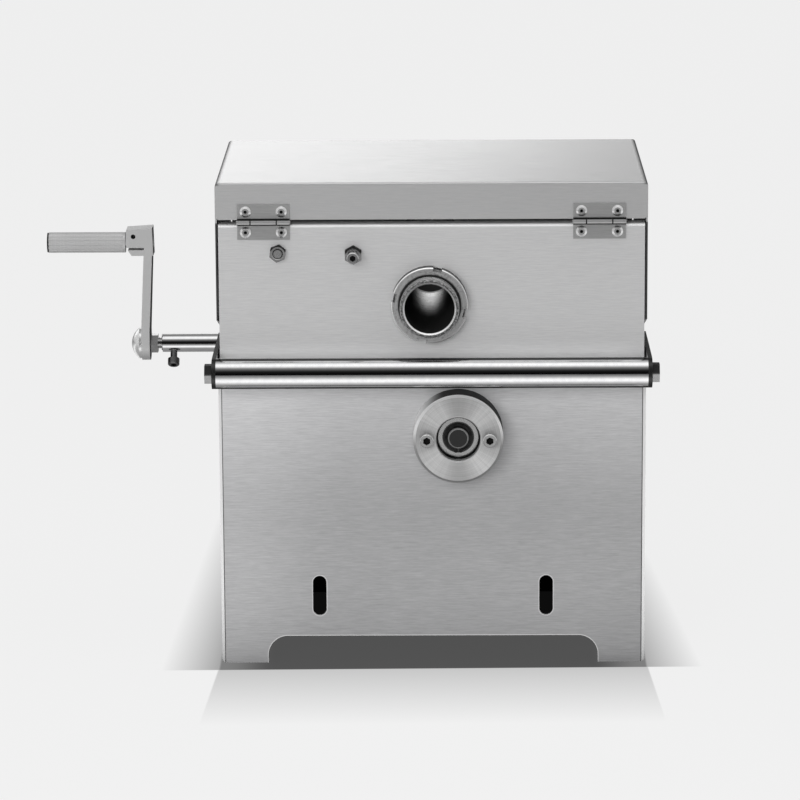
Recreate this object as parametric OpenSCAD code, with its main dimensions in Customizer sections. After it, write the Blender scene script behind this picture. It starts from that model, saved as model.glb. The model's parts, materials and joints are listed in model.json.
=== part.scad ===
// Hand-cranked table-top machine in a sheet-steel cabinet: a crank on the left turns a hollow
// spindle that runs right through the upper half, by way of a cross shaft, a pair of bevel
// gears and a main shaft. A hood on two butt hinges covers the spindle and its gears.
// Millimetres. +X is right and -Y is the hinge side. The table is z = 0.

/* [Cabinet] */
// Width over the side panels
cabinet_w = 309.4; // [296:0.1:330]
// Depth over the front and rear panels
cabinet_d = 200; // [196:1:216]
// Height of the upper half, from the seam behind the guide bar to the hood's top
upper_h = 134.4; // [132:0.1:136]
// Gap between the top edges of the two upper plates and the hood's skirts
plate_gap = 3.5; // [1:0.1:4]
// Thickness of the cabinet's sheet
sheet = 2; // [1.5:0.1:2.5]
// Outside radius of the folds along the top and bottom edges
fold_r = 3; // [2.6:0.1:4]
// Outside radius of the tighter folds down the sides of the lower panels
side_fold_r = 1.2; // [0.8:0.1:1.8]
// Width of the folded edges
fold_w = 14; // [10:0.5:18]
// Gap between a side panel's folded foot and the panels in front and behind
foot_gap = 0.5; // [0.3:0.1:0.8]
// How far the side panels rise over the seam, clear of the hood
side_rise = 14; // [10:0.5:16]
// Depth of each end stretch of a side panel, where its top edge drops to the seam
side_drop_run = 52; // [40:1:64]

/* [Base openings] */
// Width of the opening between the feet
arch_w = 241.5; // [220:0.5:256]
// Height of the opening between the feet
arch_h = 20.3; // [16:0.1:26]
// Radius of the opening's upper corners
arch_r = 14.5; // [8:0.5:15.5]
// Distance from the middle to each upright slot
slot_x = 82.75; // [70:0.25:95]
// Height of the middle of the slots
slot_z = 50.7; // [46:0.1:60]
// Width of the slots
slot_w = 10; // [8:0.5:12]
// Height of the slots
slot_h = 30; // [24:0.5:36]

/* [Hood] */
// Width over the hood
hood_w = 310.6; // [310:0.1:312]
// Height of the hood's top
hood_top_z = 356.4; // [352:0.1:366]
// Thickness of the hood's sheet
hood_sheet = 1.2; // [1:0.1:1.4]
// Height of the hood's front and rear skirts
hood_skirt = 26.7; // [22:0.1:26.8]
// Gap between the hood's side skirts and the side panels
hood_gap = 4; // [3:0.5:8]
// How far the side skirts' lower edge rises towards the hinge side
hood_rise = 16; // [8:0.5:20]
// Depth over which the side skirts' lower edge rises
hood_rise_run = 58; // [46:1:70]
// Outside radius of the long edges of the hood's top
hood_r = 3; // [2.4:0.1:5]

/* [Hinges] */
// Length of a hinge
hinge_l = 37.6; // [32:0.2:44]
// Width of an open hinge
hinge_w = 25.8; // [25:0.2:28]
// Distance from the middle to the middle of each hinge
hinge_x = 120.5; // [108:0.5:126]
// Thickness of a hinge leaf
leaf_t = 1.2; // [1:0.1:1.4]
// Diameter of a hinge pin
hinge_pin_d = 2.4; // [2:0.1:2.6]
// Diameter of the rivet heads
rivet_head_d = 8; // [7:0.1:8.2]
// Diameter of the rivets' bodies
rivet_d = 4; // [3.2:0.1:4.4]

/* [Guide bar] */
// Diameter of the guide bar
bar_d = 22; // [18:0.5:24]
// Wall of the guide bar's tube
bar_wall = 2; // [1.5:0.1:2.5]
// Distance from the rear panel to the bar's axis
bar_reach = 25; // [22:0.5:30]
// Height of the bar's axis over the seam
bar_rise = 0.3; // [-2:0.1:2]
// Thickness of the straps that carry the bar
strap_t = 3; // [2.5:0.1:4]
// Distance from the rear panel to the middle of a strap's inner end
strap_depth = 68; // [60:0.5:69]

/* [Spindle] */
// Distance from the middle to the spindle's axis, negative to the left
spindle_x = -1.5; // [-4:0.1:4]
// Distance from the upper plates' top edges down to the spindle's axis
spindle_drop = 57.7; // [56:0.1:59]
// Bore of the hollow spindle
spindle_bore = 36; // [32:0.5:38]
// Diameter of the threaded ends of the spindle
spindle_thread_d = 42.2; // [41.5:0.1:43]
// Diameter of the spindle where its bearings sit
spindle_seat_d = 45; // [44.5:0.1:45.5]
// Diameter of the spindle between its bearings
spindle_body_d = 48; // [47.5:0.1:49]
// How far the spindle stands out of the cabinet at each end
spindle_proud = 23; // [20:0.5:26]
// Diameter of the slotted nuts
nut_d = 55.5; // [55:0.1:58]
// Thickness of the slotted nuts
nut_t = 8; // [7:0.5:9]
// Outside diameter of the spindle's bearings
spindle_bearing_d = 68; // [67:0.5:70]
// Width of the spindle's bearings
spindle_bearing_w = 12; // [11:0.5:13]

/* [Winding disc] */
// Diameter of the winding disc
disc_d = 112; // [96:1:116]
// Thickness of the winding disc
disc_t = 5; // [4:0.5:5.5]

/* [Main shaft] */
// Distance from the middle to the main shaft's axis
main_x = 18.8; // [16:0.1:22]
// Diameter of the main shaft between its bearings
main_body_d = 20; // [18:0.5:21]
// Diameter of the main shaft where its bearings sit
main_seat_d = 15; // [14.5:0.1:15.5]
// Outside diameter of the main shaft's bearings
main_bearing_d = 32; // [31:0.5:33]
// Width of the main shaft's bearings
main_bearing_w = 9; // [8:0.5:10]
// Diameter of the bearing flanges
flange_d = 65.2; // [64:0.1:66]
// Thickness of the bearing flanges
flange_t = 22; // [20:0.5:23]
// Depth of the bearing below the face of its flange
bearing_recess = 7.4; // [6.5:0.1:7.5]
// Depth of the shaft's end below the face of the flange
shaft_recess = 3; // [2.5:0.1:3.6]
// Distance between the two screws of a flange
flange_screw_pitch = 45.4; // [45:0.1:46.5]

/* [Crank] */
// Distance from the rear panel to the crank's axis
crank_y = 90; // [88:0.5:96]
// Distance from the spindle's axis down to the crank's axis
crank_drop = 47.1; // [46:0.1:48]
// Diameter of the crankshaft
crank_d = 14; // [13:0.1:15]
// How far the crankshaft stands out of the cabinet
crank_out = 46.4; // [40:0.1:52]
// Distance from the crank's axis to the grip's axis
crank_throw = 76.2; // [70:0.1:90]
// Thickness of the crank arm
arm_t = 6.2; // [5:0.1:7]
// How far the arm leans towards the cabinet at its top
arm_lean = 3.6; // [0:0.1:4]
// Diameter of the crank's boss
boss_d = 23; // [21:0.5:25]
// Angle of the clamp screw, from straight down towards the hinge side
clamp_turn = 36; // [0:1:60]
// Diameter of the grip
grip_d = 15.2; // [13:0.1:17]
// Length of the grip
grip_l = 56.6; // [50:0.1:66]
// Number of flutes round the grip
grip_flutes = 14; // [10:1:16]

/* [Gears] */
// Module of the spur gears
gear_module = 2; // [2:2]
// Teeth on the spindle gear
spindle_teeth = 42; // [42:1:42]
// Teeth on the main gear, which drives the spindle gear
main_teeth = 56; // [56:1:56]
// Teeth on the crank gear
crank_teeth = 32; // [32:1:32]
// Teeth on the cross-shaft gear, which the crank gear drives
cross_teeth = 18; // [18:1:18]
// Module of the bevel gears
bevel_module = 2.5; // [2.4:0.05:2.6]
// Teeth on each bevel gear
bevel_teeth = 20; // [20:2:20]
// Pressure angle of all the teeth
pressure_angle = 20; // [20:20]
// How much thinner the teeth are than their gaps
backlash = 0.3; // [0.24:0.02:0.4]
// Face width of the main and spindle gears
wide_face = 14; // [12:0.5:16]
// Face width of the crank and cross-shaft gears
narrow_face = 12; // [10:0.5:13]
// Face width of the bevel gears
bevel_face = 10; // [8:0.5:11]
// Diameter of the cross shaft
cross_d = 12; // [11:0.5:13]

/* [Thread posts] */
// Distance from the middle to the spool post
post_x = 110.5; // [104:0.5:113]
// Distance from the upper plate's top edge down to the spool post
post_drop = 20.6; // [20:0.1:22]
// Distance from the middle to the tension screw
tension_x = 56.3; // [54:0.5:62]
// Distance from the upper plate's top edge down to the tension screw
tension_drop = 21.9; // [20:0.1:23]

/* [Hidden] */

$fn = 64;
eps = 0.01;

// Socket screws and hexagons of the metric sizes used
m5 = 5;
m6 = 6;
m8 = 8;
m5_head_d = 8.5;
m5_socket = 4;
m6_head_d = 10;
m6_socket = 5;
m8_flats = 13;
m8_head_h = 5.3;
post_nut_flats = 11;
tension_nut_flats = 11.8;
post_nut_h = 5;
tension_head_z = 12;

// Cabinet: everything in its upper half keeps its distance from the hood's top
half_w = cabinet_w / 2;
seam_z = hood_top_z - upper_h;
side_h = seam_z + side_rise;
panel_w = cabinet_w - 2 * sheet;
plate_w = cabinet_w - 3;
fold_inner_r = fold_r - sheet;

// Hood and hinges
hood_bottom_z = side_h + hood_gap;
skirt_z = hood_top_z - hood_skirt;
knuckle_r = hinge_pin_d / 2 + leaf_t;
plate_top_z = skirt_z - plate_gap;
hinge_z = skirt_z - 1.4;
knuckle_gap = 0.35;
hinge_play = 0.1;
leaf_top_z = hinge_z + hinge_w / 2;
leaf_bottom_z = hinge_z - hinge_w / 2;
post_z = plate_top_z - post_drop;
tension_z = plate_top_z - tension_drop;
rivet_x = hinge_l * 0.343;
rivet_rise = hinge_w * 0.29;
rivet_head_h = 1.5;

// Guide bar
bar_z = seam_z + bar_rise;
strap_r = bar_d / 2;
bar_bolt_l = 20;
strap_screw_ys = [30, strap_depth - 8];

// Spindle: its bearings sit just inside the upper plates
spindle_z = plate_top_z - spindle_drop;
plate_hole_r = spindle_body_d / 2 + 2.5;
inner_ring_r = spindle_seat_d / 2 + 3;
spindle_shield_gap = 0.3;
spindle_ring_wall = 3.5;
nut_hub_r = inner_ring_r - 0.3;
nut_gap = 2;
housing_r = spindle_bearing_d / 2 + 6.5;
housing_depth = spindle_bearing_w + 3.5;
disc_hub_l = 5;
eyelet_stem = 3.5;
eyelet_r = 3.6;
eyelet_wire_r = 1.4;
eyelet_front = disc_hub_l + disc_t + eyelet_stem + 2 * eyelet_r + eyelet_wire_r;

// Main shaft: geared to the spindle, so its height follows from the gears
spindle_gear_r = gear_module * spindle_teeth / 2;
main_gear_r = gear_module * main_teeth / 2;
main_centres = spindle_gear_r + main_gear_r;
main_dx = main_x - spindle_x;
main_z = spindle_z - sqrt(pow(main_centres, 2) - pow(main_dx, 2));
wide_gear_y = 44;
flange_bore_r = main_body_d / 2 + 3;
main_ring_r = main_seat_d / 2 + 2.7;
main_shield_gap = 0.3;
main_ring_wall = 1.9;
snap_ring_t = 1;

// Cross shaft: level with the main shaft, so that the bevel gears' axes meet
crank_z = spindle_z - crank_drop;
crank_gear_r = gear_module * crank_teeth / 2;
cross_gear_r = gear_module * cross_teeth / 2;
cross_centres = crank_gear_r + cross_gear_r;
cross_z = main_z;
cross_y = crank_y + sqrt(pow(cross_centres, 2) - pow(crank_z - cross_z, 2));

// Bevel gears: both pitch cones meet where the two axes cross
bevel_r = bevel_module * bevel_teeth / 2;
bevel_cone = bevel_r * sqrt(2);
bevel_back = 22;

// Drive bracket, with a bush for each shaft in both of its legs
bracket_t = 4;
bracket_left = -half_w + sheet;
bracket_right = -40;
bracket_floor_z = crank_z - 87.4;
bush_wall = 3;
bush_flange = 3;
bush_flange_w = 3.5;
bush_play = 0.05;
crank_gear_left = bracket_left + bracket_t + bush_flange + 0.5;
narrow_hub_l = 6;
crank_gear_right = crank_gear_left + narrow_hub_l + narrow_face;
crankshaft_end = bracket_right + 6;
crank_groove_x = crankshaft_end - 2.6;

// Crank, outwards from the crankshaft's end
crank_left = -half_w - crank_out;
stud_neck = 2.8;
crank_nut_h = 5.6;
arm_right = crank_left - stud_neck - crank_nut_h;
arm_left = arm_right - arm_t;
cap_h = 7.8;
grip_z = crank_z + crank_throw;
block_right = arm_right + arm_lean;
block_left = arm_left - 10.6;
block_w = 17;
block_top = 11.8;
block_bottom = 8.8;
block_slot = 1.7;
grip_spindle_d = 8;
grip_play = 0.1;
grip_right = block_left - 0.4;
grip_left = grip_right - grip_l;
end_cap_t = 1.2;
clamp_reach = 18;
clamp_head_h = 5;
clamp_head_d = 8.6;
clamp_x = crank_left + 9;

// Row frame: the middle of the whole object's footprint
overall_left = grip_left - end_cap_t;
overall_right = half_w + strap_t + m8_head_h;
overall_rear = -bar_reach - strap_r;
overall_front = cabinet_d + max(spindle_proud, eyelet_front, flange_t + m6);
shift = [-(overall_left + overall_right) / 2, -(overall_rear + overall_front) / 2, 0];

module in_row_frame() translate(shift) children();

// ---- Orientation ----

// Local z points towards the hinge side, local x to the right and local y up
module facing_rear(x, y, z) translate([x, y, z]) rotate([90, 0, 0]) children();

// Local z points to the left, local x up and local y towards the front
module facing_left(x, y, z) translate([x, y, z]) rotate([0, -90, 0]) children();

// The same piece at the front, mirrored through the middle of the cabinet
module at_front() translate([0, cabinet_d, 0]) mirror([0, 1, 0]) children();

module at_both_ends() {
    children();
    at_front() children();
}

module at_both_sides() {
    children();
    mirror([1, 0, 0]) children();
}

module at_both_hinges() for (s = [-1, 1]) translate([s * hinge_x, 0, 0]) children();

// ---- Shapes that repeat ----

module hexagon(flats, h) rotate(30) cylinder(d = flats / cos(30), h = h, $fn = 6);

// A ring or disc with a hole through it
module ring(r, hole_r, h) {
    difference() {
        cylinder(r = r, h = h);
        translate([0, 0, -1]) cylinder(r = hole_r, h = h + 2);
    }
}

// What is cut from a square corner at the origin to round it
module corner_cut(r) {
    difference() {
        translate([-1, -1]) square(r + 1);
        translate([r, r]) circle(r);
    }
}

module edge_cut(r, l) translate([0, 0, -1]) linear_extrude(l + 2) corner_cut(r);

// A block whose face is at y = 0, with the folded edges of that face rounded
module folded_block(w, z0, z1, d, side_r, top_r, bottom_r) {
    difference() {
        translate([-w / 2, 0, z0]) cube([w, d, z1 - z0]);
        if (side_r > 0) at_both_sides() translate([-w / 2, 0, z0]) edge_cut(side_r, z1 - z0);
        if (top_r > 0) translate([-w / 2, 0, z1]) rotate([0, 90, 0]) edge_cut(top_r, w);
        if (bottom_r > 0) translate([w / 2, 0, z0]) rotate([0, -90, 0]) edge_cut(bottom_r, w);
    }
}

// Sheet standing at y = 0 with its folded edges turned forwards; a radius of 0 is an edge left flat
module folded_panel(w, z0, z1, side_r, top_r, bottom_r) {
    side_cut = side_r > 0 ? sheet : -1;
    bottom = bottom_r > 0 ? z0 + sheet : z0 - 1;
    top = top_r > 0 ? z1 - sheet : z1 + 1;
    difference() {
        folded_block(w, z0, z1, fold_w, side_r, top_r, bottom_r);
        translate([0, sheet, 0])
            folded_block(w - 2 * side_cut, bottom, top, fold_w,
                side_r - sheet, top_r - sheet, bottom_r - sheet);
    }
}

// A screw's shank and socket head, its head resting at z = 0 and standing along z
module socket_screw(d, l, head_d, head_h, socket) {
    difference() {
        union() {
            translate([0, 0, -l]) cylinder(d = d, h = l + eps);
            cylinder(d = head_d, h = head_h - 0.5);
            translate([0, 0, head_h - 0.5]) cylinder(d1 = head_d, d2 = head_d - 1, h = 0.5);
        }
        translate([0, 0, head_h * 0.4]) hexagon(socket, head_h);
    }
}

// A ball bearing's outer ring with its two shields, as one turned section
module bearing_outer(r, inner_r, wall, w) {
    shield = 0.8;
    rotate_extrude() {
        translate([r - wall, 0]) square([wall, w]);
        for (z = [0.3, w - 0.3 - shield]) translate([inner_r, z]) square([r - wall - inner_r + eps, shield]);
    }
}

// ---- Gear teeth ----

// Involute function, in degrees
function involute(a) = tan(a) * 180 / PI - a;

// Half the angle of a tooth at radius r, for n teeth of module m
function half_tooth(n, m, r) =
    let (base = m * n / 2 * cos(pressure_angle), at = max(r, base))
    90 / n - backlash / (m * n) * 180 / PI + involute(pressure_angle) - involute(acos(base / at));

// Radii of a spur tooth's points, from its root to its tip
function tooth_radii(n, m) =
    let (root = m * (n / 2 - 1.25), tip = m * (n / 2 + 1), base = m * n / 2 * cos(pressure_angle))
    let (start = max(base, root + 0.2))
    concat([root], [for (k = [0:3]) start + (tip - start) * k / 3]);

function polar(r, a) = [r * cos(a), r * sin(a)];

function reversed(list) = [for (k = [len(list) - 1:-1:0]) list[k]];

function spur_outline(n, m, turn) = [
    for (k = [0:n - 1])
        let (middle = turn + 360 * k / n, radii = tooth_radii(n, m))
        for (p = concat([for (r = radii) polar(r, middle - half_tooth(n, m, r))],
                [for (r = reversed(radii)) polar(r, middle + half_tooth(n, m, r))])) p
];

// Turn of gear 2 that puts it in mesh with gear 1, which lies from it at the angle from + 180
function mesh_turn(turn1, n1, n2, from) =
    from + 180 - (0.5 - (from - turn1) * n1 / 360) * 360 / n2;

module spur_teeth(n, m, turn, h) linear_extrude(h) polygon(spur_outline(n, m, turn));

// Bevel teeth by their back cone: the height above the pitch cone gives a place on the flank
bevel_steps = [for (k = [0:4]) bevel_module * (-1.2 + 2.2 * k / 4)];
bevel_virtual = bevel_teeth * sqrt(2);

function bevel_radius(h, plane) = plane * tan(45 + atan(h / bevel_cone));

function bevel_half(h) =
    let (at = bevel_cone + h)
    half_tooth(bevel_virtual, bevel_module, at) * at / (bevel_r + h / sqrt(2));

function bevel_outline(turn, plane) = [
    for (k = [0:bevel_teeth - 1])
        let (middle = turn + 360 * k / bevel_teeth)
        for (p = concat([for (h = bevel_steps) polar(bevel_radius(h, plane), middle - bevel_half(h))],
                [for (h = reversed(bevel_steps)) polar(bevel_radius(h, plane), middle + bevel_half(h))])) p
];

// A straight bevel gear: its axes' crossing is at the origin and its back faces local z
module bevel_gear(turn, shaft_d, hub_r, hub_end) {
    outer = bevel_r + 4;
    inner = (bevel_cone - bevel_face) / sqrt(2);
    difference() {
        union() {
            intersection() {
                translate([0, 0, outer]) mirror([0, 0, 1])
                    linear_extrude(outer - inner, scale = inner / outer)
                        polygon(bevel_outline(turn, outer));
                cylinder(r1 = 2 * bevel_r, r2 = 0, h = 2 * bevel_r);
            }
            translate([0, 0, inner + 2]) cylinder(r = hub_r, h = hub_end - inner - 2);
        }
        translate([0, 0, inner - 1]) cylinder(d = shaft_d, h = hub_end - inner + 2);
    }
}

// ---- Cabinet ----

module arch_cut() {
    rise = arch_h + 1;
    translate([0, fold_w + 1, -1]) rotate([90, 0, 0]) linear_extrude(fold_w + 2) difference() {
        translate([-arch_w / 2, 0]) square([arch_w, rise]);
        at_both_sides() translate([-arch_w / 2, rise]) mirror([0, 1]) corner_cut(arch_r);
    }
}

module slot_cut() {
    straight = slot_h - slot_w;
    facing_rear(0, sheet + 1, 0) for (s = [-1, 1]) translate([s * slot_x, slot_z, 0]) {
        translate([-slot_w / 2, -straight / 2, 0]) cube([slot_w, straight, sheet + 2]);
        for (e = [-1, 1]) translate([0, e * straight / 2, 0]) cylinder(d = slot_w, h = sheet + 2);
    }
}

module lower_panel() {
    difference() {
        folded_panel(panel_w, 0, seam_z, side_fold_r, fold_r, 0);
        facing_rear(main_x, sheet + 1, main_z) cylinder(r = flange_bore_r, h = sheet + 2);
        for (s = [-1, 1])
            facing_rear(main_x + s * flange_screw_pitch / 2, sheet + 1, main_z)
                cylinder(d = m6 + 0.4, h = sheet + 2);
    }
}

module rear_lower_panel() {
    color("silver") in_row_frame() difference() {
        lower_panel();
        arch_cut();
        slot_cut();
    }
}

module front_lower_panel() {
    color("silver") in_row_frame() at_front() lower_panel();
}

module upper_plate() {
    difference() {
        folded_panel(plate_w, seam_z, plate_top_z, 0, fold_r, fold_r);
        facing_rear(spindle_x, sheet + 1, spindle_z) cylinder(r = plate_hole_r, h = sheet + 2);
    }
}

module rear_upper_plate() {
    color("gainsboro") in_row_frame() difference() {
        upper_plate();
        facing_rear(-post_x, sheet + 1, post_z) cylinder(d = m6, h = sheet + 2);
        facing_rear(-tension_x, sheet + 1, tension_z) cylinder(d = m5, h = sheet + 2);
        at_both_hinges() rivet_places(-rivet_rise, sheet) cylinder(d = rivet_d, h = sheet + 2);
    }
}

module front_upper_plate() {
    color("gainsboro") in_row_frame() at_front() upper_plate();
}

// Left side panel: upright sheet with its foot folded inwards and its top corners cut down
module side_panel() {
    corner = fold_w + foot_gap;
    difference() {
        translate([-half_w, 0, 0]) rotate([90, 0, 90]) linear_extrude(fold_w)
            polygon([[0, 0], [cabinet_d, 0], [cabinet_d, seam_z], [cabinet_d - corner, seam_z],
                [cabinet_d - side_drop_run, side_h], [side_drop_run, side_h], [corner, seam_z], [0, seam_z]]);
        translate([-half_w, cabinet_d, 0]) rotate([90, 0, 0]) edge_cut(fold_r, cabinet_d);
        difference() {
            translate([-half_w + sheet, -1, sheet]) cube([fold_w, cabinet_d + 2, side_h]);
            translate([-half_w + sheet, cabinet_d, sheet]) rotate([90, 0, 0])
                edge_cut(fold_inner_r, cabinet_d);
        }
        foot_ends();
        for (y = strap_screw_ys) facing_left(-half_w + sheet + 1, y, bar_z) cylinder(d = m5, h = sheet + 2);
    }
}

// The folded foot stops short of the panels in front and behind
module foot_ends() {
    clear = fold_w + foot_gap;
    for (y = [-1, cabinet_d - clear])
        translate([-half_w + sheet, y, -1]) cube([fold_w, clear + 1, sheet + fold_r]);
}

module left_side_panel() {
    color("silver") in_row_frame() difference() {
        side_panel();
        facing_left(-half_w + sheet + 1, crank_y, crank_z)
            cylinder(d = crank_d + 2 * bush_wall, h = sheet + 2);
        bracket_screw_places() flush_hole(sheet);
    }
}

module right_side_panel() {
    color("silver") in_row_frame() mirror([1, 0, 0]) side_panel();
}

// ---- Hood ----

// Top and side skirts, folded from one sheet
module hood_block(inset, r) {
    w = hood_w - 2 * inset;
    difference() {
        translate([-w / 2, 0, 0]) cube([w, cabinet_d, hood_top_z - inset]);
        at_both_sides() translate([-w / 2, cabinet_d, hood_top_z - inset])
            rotate([90, 0, 0]) mirror([0, 1, 0]) edge_cut(r, cabinet_d);
    }
}

module hood_side_outline() {
    high = hood_bottom_z + hood_rise;
    polygon([[hood_sheet, hood_top_z], [hood_sheet, high], [hood_rise_run, hood_bottom_z],
        [cabinet_d - hood_rise_run, hood_bottom_z], [cabinet_d - hood_sheet, high],
        [cabinet_d - hood_sheet, hood_top_z]]);
}

// A short skirt with its lower corners cut off
module hood_short_skirt() {
    corner = 2.2;
    facing_rear(0, hood_sheet, 0) linear_extrude(hood_sheet)
        polygon([[-hood_w / 2, hood_top_z], [-hood_w / 2, skirt_z + corner], [-hood_w / 2 + corner, skirt_z],
            [hood_w / 2 - corner, skirt_z], [hood_w / 2, skirt_z + corner], [hood_w / 2, hood_top_z]]);
}

module hood_shell() {
    edge_r = 1.6;
    color("gainsboro") in_row_frame() difference() {
        intersection() {
            hood_block(0, hood_r);
            union() {
                difference() {
                    rotate([90, 0, 90]) translate([0, 0, -hood_w]) linear_extrude(2 * hood_w)
                        hood_side_outline();
                    hood_block(hood_sheet, hood_r - hood_sheet);
                }
                at_both_ends() hood_short_skirt();
            }
        }
        at_both_ends() translate([-hood_w / 2, 0, hood_top_z]) rotate([0, 90, 0]) edge_cut(edge_r, hood_w);
        at_both_hinges() rivet_places(rivet_rise, hood_sheet) cylinder(d = rivet_d, h = hood_sheet + 2);
    }
}

// ---- Hinges ----

// Two rivets at one height, z pointing out of the sheet and reaching 1 mm behind it
module rivet_places(rise, t)
    for (s = [-1, 1]) facing_rear(s * rivet_x, t + 1, hinge_z + rise) children();

// One leaf of a hinge, with its knuckles cut away where the other leaf's knuckles are
module hinge_leaf(z0, z1, rise, others, play) {
    difference() {
        union() {
            facing_rear(-hinge_l / 2, 0, z0) cube([hinge_l, z1 - z0, leaf_t]);
            translate([-hinge_l / 2, -knuckle_r, hinge_z]) rotate([0, 90, 0])
                cylinder(r = knuckle_r, h = hinge_l);
        }
        for (o = others)
            translate([-hinge_l / 2 + o[0] - knuckle_gap / 2, -knuckle_r, hinge_z]) rotate([0, 90, 0])
                cylinder(r = knuckle_r + knuckle_gap, h = o[1] - o[0] + knuckle_gap);
        translate([-hinge_l, -knuckle_r, hinge_z]) rotate([0, 90, 0])
            cylinder(d = hinge_pin_d + play, h = 2 * hinge_l);
        rivet_places(rise, 0) cylinder(d = rivet_d, h = leaf_t + 2);
    }
}

outer_knuckles = [[-1, hinge_l / 4], [hinge_l * 3 / 4, hinge_l + 1]];
middle_knuckle = [[hinge_l / 4, hinge_l * 3 / 4]];

module hinge_body_leaves() {
    color("darkgray") in_row_frame() at_both_hinges()
        hinge_leaf(leaf_bottom_z, hinge_z - 0.5, -rivet_rise, middle_knuckle, 0);
}

module hinge_hood_leaves() {
    color("darkgray") in_row_frame() at_both_hinges()
        hinge_leaf(hinge_z + 0.5, leaf_top_z, rivet_rise, outer_knuckles, hinge_play);
}

module hinge_pins() {
    color("lightgray") in_row_frame() at_both_hinges()
        translate([-hinge_l / 2 - 0.6, -knuckle_r, hinge_z]) rotate([0, 90, 0])
            cylinder(d = hinge_pin_d, h = hinge_l + 1.2);
}

// A blind rivet: domed head on the leaf, body through the sheet and a wider tail behind it
module blind_rivet(t) {
    tail = 3.5;
    dome = rivet_head_h - 0.4;
    difference() {
        union() {
            translate([0, 0, t + 1 + leaf_t]) {
                cylinder(d = rivet_head_d, h = 0.4);
                translate([0, 0, 0.4]) cylinder(d1 = rivet_head_d, d2 = rivet_head_d * 0.62, h = dome);
            }
            translate([0, 0, 1]) cylinder(d = rivet_d, h = t + leaf_t + eps);
            translate([0, 0, 1 - tail]) cylinder(d = rivet_d + 0.8, h = tail);
        }
        translate([0, 0, t + 1]) cylinder(d = 2.2, h = 10);
    }
}

module body_rivets() {
    color("white") in_row_frame() at_both_hinges() rivet_places(-rivet_rise, sheet) blind_rivet(sheet);
}

module hood_rivets() {
    color("white") in_row_frame() at_both_hinges()
        rivet_places(rivet_rise, hood_sheet) blind_rivet(hood_sheet);
}

// ---- Guide bar ----

module guide_bar() {
    color("whitesmoke") in_row_frame() facing_left(half_w, -bar_reach, bar_z)
        ring(bar_d / 2, bar_d / 2 - bar_wall, cabinet_w);
}

module bar_end_plugs() {
    plug_l = 24;
    color("gray") in_row_frame() at_both_sides() facing_left(-half_w + plug_l, -bar_reach, bar_z)
        ring(bar_d / 2 - bar_wall, m8 / 2, plug_l);
}

module strap() {
    difference() {
        union() {
            for (y = [-bar_reach, strap_depth])
                facing_left(-half_w, y, bar_z) cylinder(r = strap_r, h = strap_t);
            translate([-half_w - strap_t, -bar_reach, bar_z - strap_r])
                cube([strap_t, bar_reach + strap_depth, 2 * strap_r]);
        }
        facing_left(-half_w + 1, -bar_reach, bar_z) cylinder(d = m8, h = strap_t + 2);
        for (y = strap_screw_ys) facing_left(-half_w - strap_t, y, bar_z) flush_hole(strap_t);
    }
}

module bar_straps() {
    color("gray") in_row_frame() at_both_sides() strap();
}

module bar_bolts() {
    color("lightgray") in_row_frame() at_both_sides() facing_left(-half_w - strap_t, -bar_reach, bar_z) {
        hexagon(m8_flats, m8_head_h);
        translate([0, 0, -bar_bolt_l]) cylinder(d = m8, h = bar_bolt_l + eps);
    }
}

// A countersunk screw, its flat head at z = 0
module flush_screw(l) {
    head_h = m5 / 2;
    difference() {
        union() {
            translate([0, 0, -head_h]) cylinder(d1 = m5, d2 = 2 * m5, h = head_h);
            translate([0, 0, -l]) cylinder(d = m5, h = l - head_h + eps);
        }
        translate([0, 0, -1.6]) hexagon(3, 3);
    }
}

module flush_hole(l) {
    translate([0, 0, -l - 1]) cylinder(d = m5, h = l + 2);
    translate([0, 0, -m5 / 2]) cylinder(d1 = m5, d2 = 2 * m5, h = m5 / 2);
    translate([0, 0, -eps]) cylinder(d = 2 * m5, h = 1);
}

module side_screws() {
    color("lightgray") in_row_frame() {
        at_both_sides() for (y = strap_screw_ys)
            facing_left(-half_w - strap_t, y, bar_z) flush_screw(strap_t + sheet);
        bracket_screw_places() flush_screw(sheet + bracket_t);
    }
}

// ---- Main shaft bearings ----

module bearing_flange() {
    chamfer = 2;
    mouth = 0.6;
    seat = bearing_recess + main_bearing_w;
    facing_rear(main_x, 0, main_z) difference() {
        union() {
            cylinder(d = flange_d, h = flange_t - chamfer);
            translate([0, 0, flange_t - chamfer])
                cylinder(d1 = flange_d, d2 = flange_d - 2 * chamfer, h = chamfer);
        }
        translate([0, 0, -1]) cylinder(r = flange_bore_r, h = flange_t + 2);
        translate([0, 0, flange_t - seat]) cylinder(d = main_bearing_d, h = seat + 1);
        translate([0, 0, flange_t - mouth])
            cylinder(d1 = main_bearing_d, d2 = main_bearing_d + 4 * mouth, h = 2 * mouth);
        for (s = [-1, 1]) translate([s * flange_screw_pitch / 2, 0, -1]) cylinder(d = m6, h = flange_t + 2);
    }
}

module rear_bearing_flange() {
    color("silver") in_row_frame() bearing_flange();
}

module front_bearing_flange() {
    color("silver") in_row_frame() at_front() bearing_flange();
}

module flange_screws() {
    color("dimgray") in_row_frame() at_both_ends() for (s = [-1, 1])
        facing_rear(main_x + s * flange_screw_pitch / 2, -flange_t, main_z)
            socket_screw(m6, flange_t + sheet + 6, m6_head_d, m6, m6_socket);
}

module flange_nuts() {
    color("lightgray") in_row_frame() at_both_ends() for (s = [-1, 1])
        facing_rear(main_x + s * flange_screw_pitch / 2, sheet + 5, main_z) difference() {
            hexagon(10, 5);
            translate([0, 0, -1]) cylinder(d = m6, h = 7);
        }
}

bearing_y = -flange_t + bearing_recess + main_bearing_w;

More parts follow.
